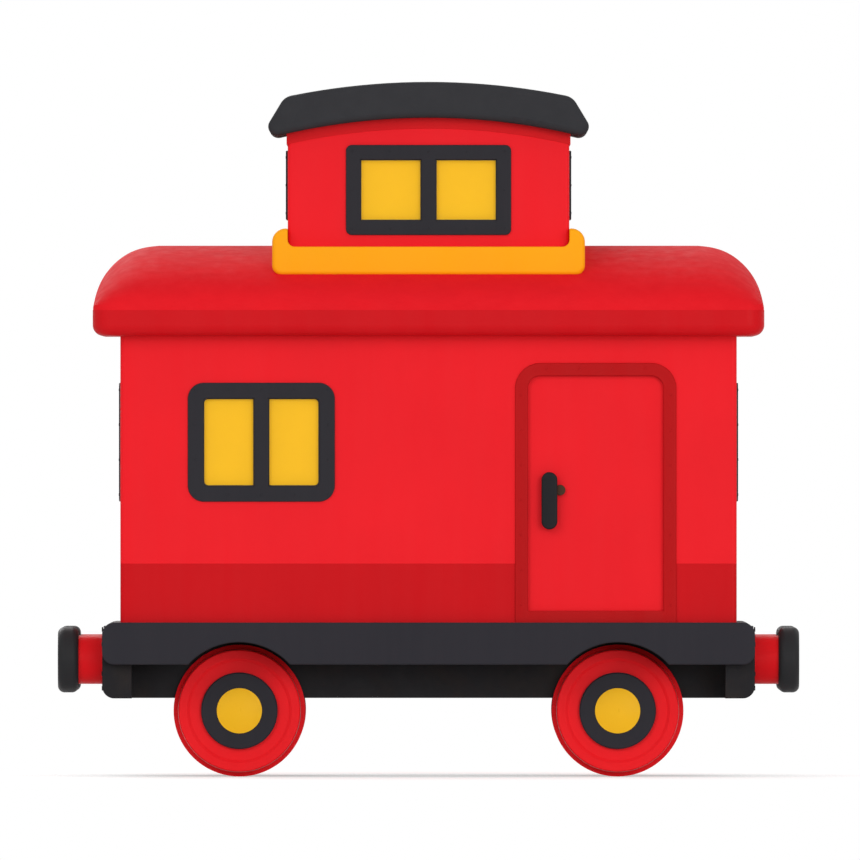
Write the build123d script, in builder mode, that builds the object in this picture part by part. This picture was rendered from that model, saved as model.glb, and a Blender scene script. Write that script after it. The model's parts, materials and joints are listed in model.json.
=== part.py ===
from build123d import *
from math import cos, radians, sin, sqrt
import os

# A four-wheel railway caboose. Millimetres, +Z up, +X towards the front buffers.
# -Y is the right-hand side and +Y the left-hand side. The origin is on the floor,
# under the middle of the car, which stands on its wheel flanges.

# Wheels and axles
TREAD_RADIUS = 419.0
TREAD_TAPER = 3.0
TREAD_BEVEL = 8.0
FLANGE_HEIGHT = 30.0
FLANGE_THICKNESS = 40.0
FLANGE_TIP = 14.0
FLANGE_BEVEL = 10.0
BACK_TO_BACK = 1360.0
WHEEL_WIDTH = 135.0
RIM_THICKNESS = 62.0
WEB_THICKNESS = 34.0
WEB_RECESS = 12.0
WEB_BLEND = 60.0
RIM_SLOPE = 20.0
HUB_WALL = 48.0
HUB_RING_RADIUS = 261.0
HUB_RING_THICKNESS = 34.0
HUB_RING_BEVEL = 8.0
HUB_CAP_RADIUS = 154.0
HUB_CAP_LAP = 12.0
HUB_CAP_EDGE = 10.0
HUB_CAP_DOME = 34.0
WHEEL_SEAT_RADIUS = 92.0
JOURNAL_RADIUS = 75.0
JOURNAL_SHOULDER = 10.0
AXLE_MIDDLE_TAPER = 30.0
AXLE_MIDDLE_RADIUS = 84.0
WHEELBASE = 2576.0
BEARING_CLEARANCE = 0.1

# Underframe
FRAME_LEDGE = 124.0
FRAME_BOTTOM = 535.0
FRAME_TOP = 1052.0
SILL_BOTTOM = 766.0
SILL_LEDGE = 60.0
SILL_WIDTH = 120.0
FRAME_CORNER = 82.0
SILL_EDGE = 8.0
WHEEL_ARCH_CLEARANCE = 20.0
BUFFER_BEAM_THICKNESS = 200.0
BUFFER_BEAM_EDGE = 8.0
FRAME_PLATE_INNER = 600.0
FRAME_PLATE_THICKNESS = 40.0
BEARER_DEPTH = 240.0
BEARER_TIP_DEPTH = 100.0
BEARER_WIDTH = 90.0
BEARER_WEB = 16.0
BEARER_INNER_X = 760.0
BEARER_END_BAY = 220.0
FLOOR_THICKNESS = 50.0

# Axle boxes, horn guides and springs
AXLE_BOX_LENGTH = 260.0
AXLE_BOX_HEIGHT = 230.0
AXLE_BOX_INNER = 470.0
AXLE_BOX_OUTER = 672.0
AXLE_BOX_LIP = 20.0
AXLE_BOX_LIP_HEIGHT = 190.0
AXLE_BOX_LIP_GAP = 2.0
HORN_INNER = 572.0
HORN_OUTER = 664.0
HORN_CHEEK = 40.0
HORN_TOP = 720.0
HORN_KEEP = 20.0
HORN_KEEP_GAP = 4.0
SLIDING_GAP = 0.5
SPRING_LEAVES = 7
SPRING_LEAF_THICKNESS = 12.0
SPRING_LEAF_WIDTH = 80.0
SPRING_INSET = 10.0
SPRING_LENGTH = 900.0
SPRING_LEAF_STEP = 90.0
SPRING_RADIUS = 1600.0
SPRING_SEAT_HEIGHT = 36.0
SPRING_SEAT_LENGTH = 120.0
SPRING_BUCKLE_LENGTH = 90.0
SPRING_BUCKLE_PROUD = 10.0
SPRING_SHOE_LENGTH = 70.0
SPRING_SHOE_HEIGHT = 60.0

# Buffers and draw hooks
BUFFER_SPREAD = 1740.0
BUFFER_HEIGHT = 797.0
BUFFER_HEAD_RADIUS = 223.0
BUFFER_HEAD_THICKNESS = 141.0
BUFFER_HEAD_ROUND = 45.0
BUFFER_STEM_RADIUS = 165.0
BUFFER_STEM_LENGTH = 162.0
DRAW_PLATE = 300.0
DRAW_PLATE_THICKNESS = 22.0
HOOK_THICKNESS = 60.0
HOOK_SHANK = 90.0
HOOK_REACH = 130.0
HOOK_THROAT_RADIUS = 42.0
HOOK_BACK_RADIUS = 96.0
HOOK_MOUTH_OVERCUT = 20.0
HOOK_PIN_RADIUS = 20.0

# Body
BODY_LENGTH = 4192.0
BODY_WIDTH = 2440.0
WALL = 80.0
BAND_TOP = 1453.0
EAVES = 3000.0
BODY_CORNER = 30.0
CEILING_THICKNESS = 20.0

# Main roof
EAVE_OVERHANG_END = 187.0
EAVE_OVERHANG_SIDE = 190.0
FASCIA_HEIGHT = 176.0
FASCIA_THICKNESS = 45.0
SOFFIT_THICKNESS = 30.0
FASCIA_ROUND = 75.0
ROOF_PLAN_CORNER = 120.0
ROOF_RISE = 444.0
ROOF_SKIN = 45.0
ROOF_SKIRT = 60.0
DOME_ANGLES = (0, 20, 40, 58, 72, 84)

# Cupola
CUPOLA_LENGTH = 1916.0
CUPOLA_WALL = 60.0
CUPOLA_WALL_BOTTOM = 3608.0
CUPOLA_EAVES = 4378.0
CUPOLA_ARCH_RISE = 107.0
CUPOLA_CORNER = 24.0
COLLAR_WIDTH = 106.0
COLLAR_TOP = 3732.0
COLLAR_BOTTOM = 3414.0
COLLAR_ROUND_TOP = 92.0
COLLAR_ROUND_BOTTOM = 66.0
COLLAR_NOTCH_ROUND = 48.0
COLLAR_EDGE = 30.0
COLLAR_DIP_EDGE = 10.0
FRIEZE_HEIGHT = 72.0
FRIEZE_THICKNESS = 8.0
CUPOLA_ROOF_THICKNESS = 244.0
CUPOLA_ROOF_TOP_RADIUS = 4725.0
CUPOLA_ROOF_SHOULDER = 22.0
CUPOLA_ROOF_NOSE = 202.0
CUPOLA_ROOF_OVERHANG = 130.0
CUPOLA_ROOF_SHOULDER_ROUND = 110.0
CUPOLA_ROOF_NOSE_ROUND = 62.0
CUPOLA_ROOF_RIM_ROUND = 45.0

# Windows
SIDE_WINDOW_FROM_END = 959.0
SIDE_WINDOW_CENTRE = 2278.0
SIDE_WINDOW_WIDTH = 1000.0
SIDE_WINDOW_HEIGHT = 809.0
SIDE_WINDOW_CORNER = 109.0
SIDE_WINDOW_BAR = 105.0
SIDE_WINDOW_MULLION = 96.0
SIDE_PANE_CORNER = 34.0
CUPOLA_WINDOW_CENTRE = 3994.0
CUPOLA_WINDOW_WIDTH = 1124.0
CUPOLA_WINDOW_HEIGHT = 613.0
CUPOLA_END_WINDOW_CENTRE = 4030.0
CUPOLA_END_WINDOW_HEIGHT = 470.0
CUPOLA_WINDOW_CORNER = 40.0
CUPOLA_WINDOW_BAR = 98.0
CUPOLA_WINDOW_MULLION = 97.0
CUPOLA_PANE_CORNER = 3.0
WINDOW_PROUD = 15.0
WINDOW_EDGE = 6.0
PANE_EDGE = 3.0
WINDOW_LAP = 38.0
PANE_THICKNESS = 10.0
PANE_REBATE = 12.0
PANE_DEPTH = 24.0
PANE_FIT = 0.3

# Doors
DOOR_FROM_END = 959.0
DOOR_OPENING_WIDTH = 922.0
DOOR_OPENING_BOTTOM = 1132.0
DOOR_OPENING_TOP = 2730.0
DOOR_OPENING_CORNER = 86.0
DOOR_FRAME_WIDTH = 87.0
DOOR_FRAME_PROUD = 15.0
DOOR_FRAME_EDGE = 6.0
DOOR_FRAME_LAP = 41.0
DOOR_STOP_DEPTH = 20.0
DOOR_STOP_LAP = 14.0
DOOR_GAP = 6.0
DOOR_STOP_GAP = 5.0
DOOR_THICKNESS = 45.0
HANDLE_FROM_DOOR = 315.0
HANDLE_CENTRE = 1880.0
HANDLE_WIDTH = 108.0
HANDLE_HEIGHT = 390.0
HANDLE_THICKNESS = 34.0
HANDLE_STANDOFF = 46.0
HANDLE_POST_RADIUS = 20.0
HANDLE_POST_SPREAD = 250.0
HANDLE_ROUND = 12.0
LATCH_FROM_DOOR = 242.0
LATCH_CENTRE = 1952.0
LATCH_RADIUS = 36.0
LATCH_THICKNESS = 30.0
LATCH_ROUND = 5.0
HINGE_COUNT = 3
HINGE_SPREAD = 1200.0
HINGE_KNUCKLE_RADIUS = 13.0
HINGE_PIN_RADIUS = 6.5
HINGE_KNUCKLE_LENGTH = 60.0
HINGE_PLATE_LENGTH = 100.0
HINGE_PLATE_THICKNESS = 6.0
HINGE_PLATE_START = 16.0
HINGE_ARM_LAP = 3.0
HINGE_OFFSET = 16.0
HINGE_FIT = 0.1
HINGE_AXIAL_GAP = 0.3

SEAT_GAP = 0.3

# Places that follow from the sizes above
axle_height = TREAD_RADIUS + FLANGE_HEIGHT
axle_x = WHEELBASE / 2
wheel_back = BACK_TO_BACK / 2
wheel_face = wheel_back + WHEEL_WIDTH
body_end = BODY_LENGTH / 2
frame_end = body_end + FRAME_LEDGE
body_side = BODY_WIDTH / 2
sill_outer = body_side + SILL_LEDGE
sill_inner = sill_outer - SILL_WIDTH
frame_plate_outer = FRAME_PLATE_INNER + FRAME_PLATE_THICKNESS
roof_spring = EAVES + FASCIA_HEIGHT
roof_end = body_end + EAVE_OVERHANG_END
roof_side = body_side + EAVE_OVERHANG_SIDE
roof_straight = roof_end - ROOF_RISE
window_x = SIDE_WINDOW_FROM_END - body_end
door_x = body_end - DOOR_FROM_END
handle_x = door_x - HANDLE_FROM_DOOR
latch_x = door_x - LATCH_FROM_DOOR
cupola_end = CUPOLA_LENGTH / 2
collar_end = cupola_end + COLLAR_WIDTH
# The collar's outer face stands where the arched roof has dropped to the collar's bottom.
collar_side = roof_side * sqrt(1 - ((COLLAR_BOTTOM - roof_spring) / ROOF_RISE) ** 2)
cupola_side = collar_side - COLLAR_WIDTH
ENDS = (("front", 1), ("rear", -1))
SIDES = (("right", -1), ("left", 1))


def write(piece, node):
    piece.part.label = node
    export_step(piece.part, f"parts/{node}.step")


def side_plane(side, x, z, half_width):
    """Plane on a side wall's outer face, its normal pointing out of the car."""
    return Plane(origin=(x, side * half_width, z), x_dir=(-side, 0, 0), z_dir=(0, side, 0))


def end_plane(end, z, half_length):
    """Plane on an end wall's outer face, its normal pointing out of the car."""
    return Plane(origin=(end * half_length, 0, z), x_dir=(0, end, 0), z_dir=(end, 0, 0))


def radial_plane(x):
    """Plane for turned pieces on an axle: local X runs along the axle, local Y is the radius."""
    return Plane(origin=(x, 0, axle_height), x_dir=(0, 1, 0), z_dir=(1, 0, 0))


def axle_line(x):
    return Axis((x, 0, axle_height), (0, 1, 0))


os.makedirs("parts", exist_ok=True)

# Wheelsets: axle, two wheels, hub rings and hub caps
rim_inner = TREAD_RADIUS - RIM_THICKNESS
web_face = wheel_face - WEB_RECESS
web_back = web_face - WEB_THICKNESS
hub_radius = WHEEL_SEAT_RADIUS + HUB_WALL
ring_face = web_face + HUB_RING_THICKNESS
journal_inner = AXLE_BOX_INNER - JOURNAL_SHOULDER
tread_edge = TREAD_RADIUS - TREAD_TAPER
dome_rise = HUB_CAP_DOME - HUB_CAP_EDGE
dome_radius = (HUB_CAP_RADIUS**2 + dome_rise**2) / (2 * dome_rise)
dome_mid_drop = dome_radius - sqrt(dome_radius**2 - (HUB_CAP_RADIUS / 2) ** 2)
for end_name, end in ENDS:
    x = end * axle_x

    with BuildPart() as axle:
        with BuildSketch(radial_plane(x)):
            with BuildLine():
                Polyline(
                    (-web_face, 0),
                    (web_face, 0),
                    (web_face, WHEEL_SEAT_RADIUS),
                    (wheel_back, WHEEL_SEAT_RADIUS),
                    (wheel_back, JOURNAL_RADIUS),
                    (journal_inner, JOURNAL_RADIUS),
                    (journal_inner - AXLE_MIDDLE_TAPER, AXLE_MIDDLE_RADIUS),
                    (AXLE_MIDDLE_TAPER - journal_inner, AXLE_MIDDLE_RADIUS),
                    (-journal_inner, JOURNAL_RADIUS),
                    (-wheel_back, JOURNAL_RADIUS),
                    (-wheel_back, WHEEL_SEAT_RADIUS),
                    (-web_face, WHEEL_SEAT_RADIUS),
                    close=True,
                )
            make_face()
        revolve(axis=axle_line(x))
    write(axle, f"{end_name}_axle")

    with BuildPart() as wheels:
        with BuildSketch(radial_plane(x)) as wheel_section:
            for side in (-1, 1):
                with BuildLine():
                    Polyline(
                        (side * wheel_back, WHEEL_SEAT_RADIUS),
                        (side * web_face, WHEEL_SEAT_RADIUS),
                        (side * web_face, rim_inner - RIM_SLOPE),
                        (side * wheel_face, rim_inner),
                        (side * wheel_face, tread_edge - TREAD_BEVEL),
                        (side * (wheel_face - TREAD_BEVEL), tread_edge),
                        (side * (wheel_back + FLANGE_THICKNESS), TREAD_RADIUS),
                        (side * (wheel_back + FLANGE_BEVEL + FLANGE_TIP), axle_height),
                        (side * (wheel_back + FLANGE_BEVEL), axle_height),
                        (side * wheel_back, axle_height - FLANGE_BEVEL),
                        (side * wheel_back, rim_inner),
                        (side * web_back, rim_inner - WEB_BLEND),
                        (side * web_back, hub_radius + WEB_BLEND),
                        (side * wheel_back, hub_radius),
                        close=True,
                    )
                make_face()
        revolve(axis=axle_line(x))
    write(wheels, f"{end_name}_wheels")

    with BuildPart() as hub_rings:
        with BuildSketch(radial_plane(x)):
            for side in (-1, 1):
                with BuildLine():
                    Polyline(
                        (side * web_face, HUB_CAP_RADIUS - HUB_CAP_LAP),
                        (side * web_face, HUB_RING_RADIUS),
                        (side * (ring_face - HUB_RING_BEVEL), HUB_RING_RADIUS),
                        (side * ring_face, HUB_RING_RADIUS - HUB_RING_BEVEL),
                        (side * ring_face, HUB_CAP_RADIUS - HUB_CAP_LAP),
                        close=True,
                    )
                make_face()
        revolve(axis=axle_line(x))
    write(hub_rings, f"{end_name}_hub_rings")

    with BuildPart() as hub_caps:
        with BuildSketch(radial_plane(x)):
            for side in (-1, 1):
                with BuildLine():
                    Polyline(
                        (side * (ring_face + HUB_CAP_DOME), 0),
                        (side * web_face, 0),
                        (side * web_face, HUB_CAP_RADIUS - HUB_CAP_LAP),
                        (side * ring_face, HUB_CAP_RADIUS - HUB_CAP_LAP),
                        (side * ring_face, HUB_CAP_RADIUS),
                        (side * (ring_face + HUB_CAP_EDGE), HUB_CAP_RADIUS),
                    )
                    ThreePointArc(
                        (side * (ring_face + HUB_CAP_EDGE), HUB_CAP_RADIUS),
                        (side * (ring_face + HUB_CAP_DOME - dome_mid_drop), HUB_CAP_RADIUS / 2),
                        (side * (ring_face + HUB_CAP_DOME), 0),
                    )
                make_face()
        revolve(axis=axle_line(x))
    write(hub_caps, f"{end_name}_hub_caps")

# Side sills: long rounded beams, notched over each wheel
arch_radius = axle_height + WHEEL_ARCH_CLEARANCE
for side_name, side in SIDES:
    with BuildPart() as side_sill:
        with BuildSketch(side_plane(side, 0, 0, sill_outer)):
            with Locations((0, (SILL_BOTTOM + FRAME_TOP) / 2)):
                RectangleRounded(2 * frame_end, FRAME_TOP - SILL_BOTTOM, FRAME_CORNER)
            with Locations((-axle_x, axle_height), (axle_x, axle_height)):
                Circle(arch_radius, mode=Mode.SUBTRACT)
        extrude(amount=-SILL_WIDTH)
        outer_face = side_sill.faces().sort_by(Axis.Y)[0 if side < 0 else -1]
        fillet(outer_face.edges(), SILL_EDGE)
    write(side_sill, f"side_sill_{side_name}")

# Buffer beams: full-height headstocks between the side sills
beam_height = FRAME_TOP - FRAME_BOTTOM
for end_name, end in ENDS:
    with BuildPart() as buffer_beam:
        with BuildSketch(Plane.XZ.offset(-sill_inner)):
            with Locations((end * (frame_end - BUFFER_BEAM_THICKNESS / 2), FRAME_BOTTOM + beam_height / 2)):
                Rectangle(BUFFER_BEAM_THICKNESS, beam_height)
        extrude(amount=2 * sill_inner)
        outer_face = buffer_beam.faces().sort_by(Axis.X)[-1 if end > 0 else 0]
        fillet(outer_face.edges().filter_by(Axis.Y), FRAME_CORNER)
        fillet(buffer_beam.faces().filter_by(Axis.Y).edges().filter_by(Axis.X), BUFFER_BEAM_EDGE)
    write(buffer_beam, f"buffer_beam_{end_name}")

# Main frame plates, inside the wheels, each with a gap for its two pairs of horn guides
beam_inner_x = frame_end - BUFFER_BEAM_THICKNESS
horn_half = AXLE_BOX_LENGTH / 2 + SLIDING_GAP + HORN_CHEEK
spring_seat_z = axle_height + AXLE_BOX_HEIGHT / 2 + SPRING_SEAT_HEIGHT
spring_foot = spring_seat_z - SPRING_BUCKLE_PROUD
spring_top = spring_seat_z + SPRING_LEAVES * SPRING_LEAF_THICKNESS
spring_tip = spring_top + SPRING_RADIUS - sqrt(SPRING_RADIUS**2 - (SPRING_LENGTH / 2) ** 2)
spring_inner = AXLE_BOX_INNER + SPRING_INSET
spring_middle = spring_inner + SPRING_LEAF_WIDTH / 2
for side_name, side in SIDES:
    with BuildPart() as main_frame:
        with BuildSketch(side_plane(side, 0, 0, frame_plate_outer)):
            with Locations((0, FRAME_BOTTOM + beam_height / 2)):
                Rectangle(2 * beam_inner_x, beam_height)
            with Locations((-axle_x, FRAME_BOTTOM), (axle_x, FRAME_BOTTOM)):
                Rectangle(2 * horn_half, 2 * (HORN_TOP - FRAME_BOTTOM), mode=Mode.SUBTRACT)
        extrude(amount=-FRAME_PLATE_THICKNESS)
    write(main_frame, f"main_frame_{side_name}")

# Cross bearers between the main frame plates, and tapered outriggers out to the side sills
bearer_outer_x = beam_inner_x - BEARER_END_BAY
bearer_places = (-bearer_outer_x, -BEARER_INNER_X, 0.0, BEARER_INNER_X, bearer_outer_x)
with BuildPart() as cross_bearers:
    for x in bearer_places:
        with BuildSketch(Plane.YZ.offset(x - BEARER_WEB / 2)):
            with Locations((0, FRAME_TOP - BEARER_DEPTH / 2)):
                Rectangle(2 * FRAME_PLATE_INNER, BEARER_DEPTH)
            for side in (-1, 1):
                with BuildLine():
                    Polyline(
                        (side * frame_plate_outer, FRAME_TOP),
                        (side * sill_inner, FRAME_TOP),
                        (side * sill_inner, FRAME_TOP - BEARER_TIP_DEPTH),
                        (side * frame_plate_outer, FRAME_TOP - BEARER_DEPTH),
                        close=True,
                    )
                make_face()
        extrude(amount=BEARER_WEB)
        with BuildSketch(Plane.YZ.offset(x - BEARER_WIDTH / 2)):
            with Locations((0, FRAME_TOP - BEARER_DEPTH + BEARER_WEB / 2)):
                Rectangle(2 * FRAME_PLATE_INNER, BEARER_WEB)
            for side in (-1, 1):
                with BuildLine():
                    Polyline(
                        (side * frame_plate_outer, FRAME_TOP - BEARER_DEPTH + BEARER_WEB),
                        (side * sill_inner, FRAME_TOP - BEARER_TIP_DEPTH + BEARER_WEB),
                        (side * sill_inner, FRAME_TOP - BEARER_TIP_DEPTH),
                        (side * frame_plate_outer, FRAME_TOP - BEARER_DEPTH),
                        close=True,
                    )
                make_face()
        extrude(amount=BEARER_WIDTH)
write(cross_bearers, "cross_bearers")

with BuildPart() as floor_deck:
    with BuildSketch(Plane.XY.offset(FRAME_TOP)):
        Rectangle(2 * (body_end - WALL), 2 * (body_side - WALL))
    extrude(amount=FLOOR_THICKNESS)
write(floor_deck, "floor_deck")

# Axle boxes, horn guides and leaf springs, one of each beside every wheel
box_bottom = axle_height - AXLE_BOX_HEIGHT / 2
box_top = axle_height + AXLE_BOX_HEIGHT / 2
box_middle_y = (AXLE_BOX_INNER + AXLE_BOX_OUTER) / 2
lip_outer = HORN_INNER - AXLE_BOX_LIP_GAP
corners = [(end, side) for end in (-1, 1) for side in (-1, 1)]
with BuildPart() as axle_boxes:
    for end, side in corners:
        x = end * axle_x
        with Locations((x, side * box_middle_y, axle_height)):
            Box(AXLE_BOX_LENGTH, AXLE_BOX_OUTER - AXLE_BOX_INNER, AXLE_BOX_HEIGHT)
        with Locations((x, side * (AXLE_BOX_INNER + lip_outer) / 2, axle_height)):
            Box(AXLE_BOX_LENGTH + 2 * AXLE_BOX_LIP, lip_outer - AXLE_BOX_INNER, AXLE_BOX_LIP_HEIGHT)
        with Locations((x, side * spring_middle, (box_top + spring_foot) / 2)):
            Box(SPRING_SEAT_LENGTH, SPRING_LEAF_WIDTH, spring_foot - box_top)
    for end in (-1, 1):
        with Locations(Location((end * axle_x, 0, axle_height), (90, 0, 0))):
            Cylinder(JOURNAL_RADIUS + BEARING_CLEARANCE, 2 * AXLE_BOX_OUTER, mode=Mode.SUBTRACT)
write(axle_boxes, "axle_boxes")

keep_top = box_bottom - HORN_KEEP_GAP
with BuildPart() as horn_guides:
    for side in (-1, 1):
        with BuildSketch(side_plane(side, 0, 0, HORN_OUTER)):
            for x in (-axle_x, axle_x):
                with Locations((x, (HORN_TOP + keep_top - HORN_KEEP) / 2)):
                    Rectangle(2 * horn_half, HORN_TOP - keep_top + HORN_KEEP)
                with Locations((x, (HORN_TOP - HORN_CHEEK + keep_top) / 2)):
                    Rectangle(AXLE_BOX_LENGTH + 2 * SLIDING_GAP, HORN_TOP - HORN_CHEEK - keep_top,
                              mode=Mode.SUBTRACT)
        extrude(amount=-(HORN_OUTER - HORN_INNER))
write(horn_guides, "horn_guides")

with BuildPart() as leaf_springs:
    for side in (-1, 1):
        with BuildSketch(Plane.XZ.offset(-side * spring_inner)):
            for x in (-axle_x, axle_x):
                for leaf in range(SPRING_LEAVES):
                    top_radius = SPRING_RADIUS + leaf * SPRING_LEAF_THICKNESS
                    half = (SPRING_LENGTH - leaf * SPRING_LEAF_STEP) / 2
                    top = spring_top - leaf * SPRING_LEAF_THICKNESS
                    tip_top = top + top_radius - sqrt(top_radius**2 - half**2)
                    tip_bottom = tip_top - SPRING_LEAF_THICKNESS
                    bottom = top - SPRING_LEAF_THICKNESS
                    with BuildLine():
                        ThreePointArc((x - half, tip_top), (x, top), (x + half, tip_top))
                        Line((x + half, tip_top), (x + half, tip_bottom))
                        ThreePointArc((x + half, tip_bottom), (x, bottom), (x - half, tip_bottom))
                        Line((x - half, tip_bottom), (x - half, tip_top))
                    make_face()
        extrude(amount=-side * SPRING_LEAF_WIDTH)
        buckle_y = side * spring_middle
        buckle_z = (spring_seat_z + spring_top) / 2
        with Locations((-axle_x, buckle_y, buckle_z), (axle_x, buckle_y, buckle_z)):
            Box(SPRING_BUCKLE_LENGTH, SPRING_LEAF_WIDTH + 2 * SPRING_BUCKLE_PROUD,
                spring_top - spring_seat_z + 2 * SPRING_BUCKLE_PROUD)
write(leaf_springs, "leaf_springs")

# Spring shoes: brackets on the plates' inner faces that the spring tips bear up against
shoe_x = (SPRING_LENGTH - SPRING_SHOE_LENGTH) / 2
shoe_y = (spring_inner + FRAME_PLATE_INNER) / 2
shoe_z = spring_tip + SPRING_SHOE_HEIGHT / 2
with BuildPart() as spring_shoes:
    for end, side in corners:
        x = end * axle_x
        with Locations((x - shoe_x, side * shoe_y, shoe_z), (x + shoe_x, side * shoe_y, shoe_z)):
            Box(SPRING_SHOE_LENGTH, FRAME_PLATE_INNER - spring_inner, SPRING_SHOE_HEIGHT)
write(spring_shoes, "spring_shoes")

# Buffers: a red stem and a round-edged head on each side of both ends
for end_name, end in ENDS:
    stem_end = frame_end + BUFFER_STEM_LENGTH
    with BuildPart() as buffer_stems:
        with BuildSketch(end_plane(end, BUFFER_HEIGHT, frame_end)):
            with Locations((-BUFFER_SPREAD / 2, 0), (BUFFER_SPREAD / 2, 0)):
                Circle(BUFFER_STEM_RADIUS)
        extrude(amount=BUFFER_STEM_LENGTH)
    write(buffer_stems, f"buffer_stems_{end_name}")

    with BuildPart() as buffer_heads:
        with BuildSketch(end_plane(end, BUFFER_HEIGHT, stem_end)):
            with Locations((-BUFFER_SPREAD / 2, 0), (BUFFER_SPREAD / 2, 0)):
                Circle(BUFFER_HEAD_RADIUS)
        extrude(amount=BUFFER_HEAD_THICKNESS)
        fillet(buffer_heads.edges().filter_by(GeomType.CIRCLE), BUFFER_HEAD_ROUND)
    write(buffer_heads, f"buffer_heads_{end_name}")

    # Draw hook: a plate on the beam, a drilled shank and an open hook
    hook_x = HOOK_REACH + DRAW_PLATE_THICKNESS
    mouth_height = HOOK_BACK_RADIUS + HOOK_MOUTH_OVERCUT
    with BuildPart() as draw_hook:
        with BuildSketch(end_plane(end, BUFFER_HEIGHT, frame_end)):
            Rectangle(DRAW_PLATE, DRAW_PLATE)
        extrude(amount=DRAW_PLATE_THICKNESS)
        hook_foot = (end * frame_end, 0, BUFFER_HEIGHT)
        with BuildSketch(Plane(origin=hook_foot, x_dir=(end, 0, 0), z_dir=(0, -end, 0))):
            with Locations((hook_x / 2, -HOOK_BACK_RADIUS + HOOK_SHANK / 2)):
                Rectangle(hook_x, HOOK_SHANK)
            with Locations((hook_x, 0)):
                Circle(HOOK_BACK_RADIUS)
                Circle(HOOK_THROAT_RADIUS, mode=Mode.SUBTRACT)
            with Locations((hook_x - HOOK_BACK_RADIUS / 2, mouth_height / 2)):
                Rectangle(HOOK_BACK_RADIUS, mouth_height, mode=Mode.SUBTRACT)
            with Locations((DRAW_PLATE_THICKNESS + HOOK_SHANK / 2, -HOOK_BACK_RADIUS + HOOK_SHANK / 2)):
                Circle(HOOK_PIN_RADIUS, mode=Mode.SUBTRACT)
        extrude(amount=HOOK_THICKNESS / 2, both=True)
    write(draw_hook, f"draw_hook_{end_name}")


# Windows. The daylight is the glazed outline with the mullion left standing in it.
def daylight(width, height, bar, mullion, corner, grow):
    RectangleRounded(width - 2 * bar + 2 * grow, height - 2 * bar + 2 * grow, corner + grow)
    Rectangle(mullion - 2 * grow, height, mode=Mode.SUBTRACT)


def window_frame(plane, wall, width, height, corner, bar, mullion, pane_corner):
    with BuildSketch(plane) as flange:
        RectangleRounded(width, height, corner)
        with BuildSketch(mode=Mode.SUBTRACT):
            daylight(width, height, bar, mullion, pane_corner, 0)
    rim = extrude(flange.sketch, amount=WINDOW_PROUD, mode=Mode.PRIVATE)
    outwards = Axis(plane.origin, plane.z_dir)
    rim = rim.fillet(WINDOW_EDGE, rim.faces().sort_by(outwards)[-1].outer_wire().edges())
    pane_wires = rim.faces().sort_by(outwards)[-1].inner_wires()
    add(rim.fillet(PANE_EDGE, pane_wires.edges()))
    with BuildSketch(plane) as lining:
        RectangleRounded(width - 2 * WINDOW_LAP, height - 2 * WINDOW_LAP, corner)
        with BuildSketch(mode=Mode.SUBTRACT):
            daylight(width, height, bar, mullion, pane_corner, 0)
    extrude(lining.sketch, amount=-wall)
    with BuildSketch(plane.offset(-wall)) as rebate:
        daylight(width, height, bar, mullion, pane_corner, PANE_REBATE)
    extrude(rebate.sketch, amount=wall - PANE_DEPTH, mode=Mode.SUBTRACT)


def window_panes(plane, width, height, bar, mullion, pane_corner):
    with BuildSketch(plane.offset(-PANE_DEPTH)) as glass:
        daylight(width, height, bar, mullion, pane_corner, PANE_REBATE - PANE_FIT)
    extrude(glass.sketch, amount=-PANE_THICKNESS)


def window_hole(plane, wall, width, height, corner):
    with BuildSketch(plane) as hole:
        RectangleRounded(width - 2 * WINDOW_LAP, height - 2 * WINDOW_LAP, corner)
    extrude(hole.sketch, amount=-wall, mode=Mode.SUBTRACT)


body_window_planes = []
for sign in (-1, 1):
    body_window_planes.append(side_plane(sign, window_x, SIDE_WINDOW_CENTRE, body_side))
    body_window_planes.append(end_plane(sign, SIDE_WINDOW_CENTRE, body_end))

with BuildPart() as body_window_frames:
    for plane in body_window_planes:
        window_frame(plane, WALL, SIDE_WINDOW_WIDTH, SIDE_WINDOW_HEIGHT, SIDE_WINDOW_CORNER,
                     SIDE_WINDOW_BAR, SIDE_WINDOW_MULLION, SIDE_PANE_CORNER)
write(body_window_frames, "body_window_frames")

with BuildPart() as body_window_panes:
    for plane in body_window_planes:
        window_panes(plane, SIDE_WINDOW_WIDTH, SIDE_WINDOW_HEIGHT, SIDE_WINDOW_BAR, SIDE_WINDOW_MULLION,
                     SIDE_PANE_CORNER)
write(body_window_panes, "body_window_panes")


# Doors. Outlines are drawn on the side plane, from the opening that shows grown outwards.
def door_outline(grow, bottom_grow, mode=Mode.ADD):
    width = DOOR_OPENING_WIDTH + 2 * grow
    top = DOOR_OPENING_TOP + grow
    bottom = DOOR_OPENING_BOTTOM - bottom_grow
    middle = (top + bottom) / 2
    with Locations((0, middle)):
        RectangleRounded(width, top - bottom, DOOR_OPENING_CORNER + grow, mode=mode)
    with Locations((0, (bottom + middle) / 2)):
        Rectangle(width, middle - bottom, mode=mode)


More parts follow.
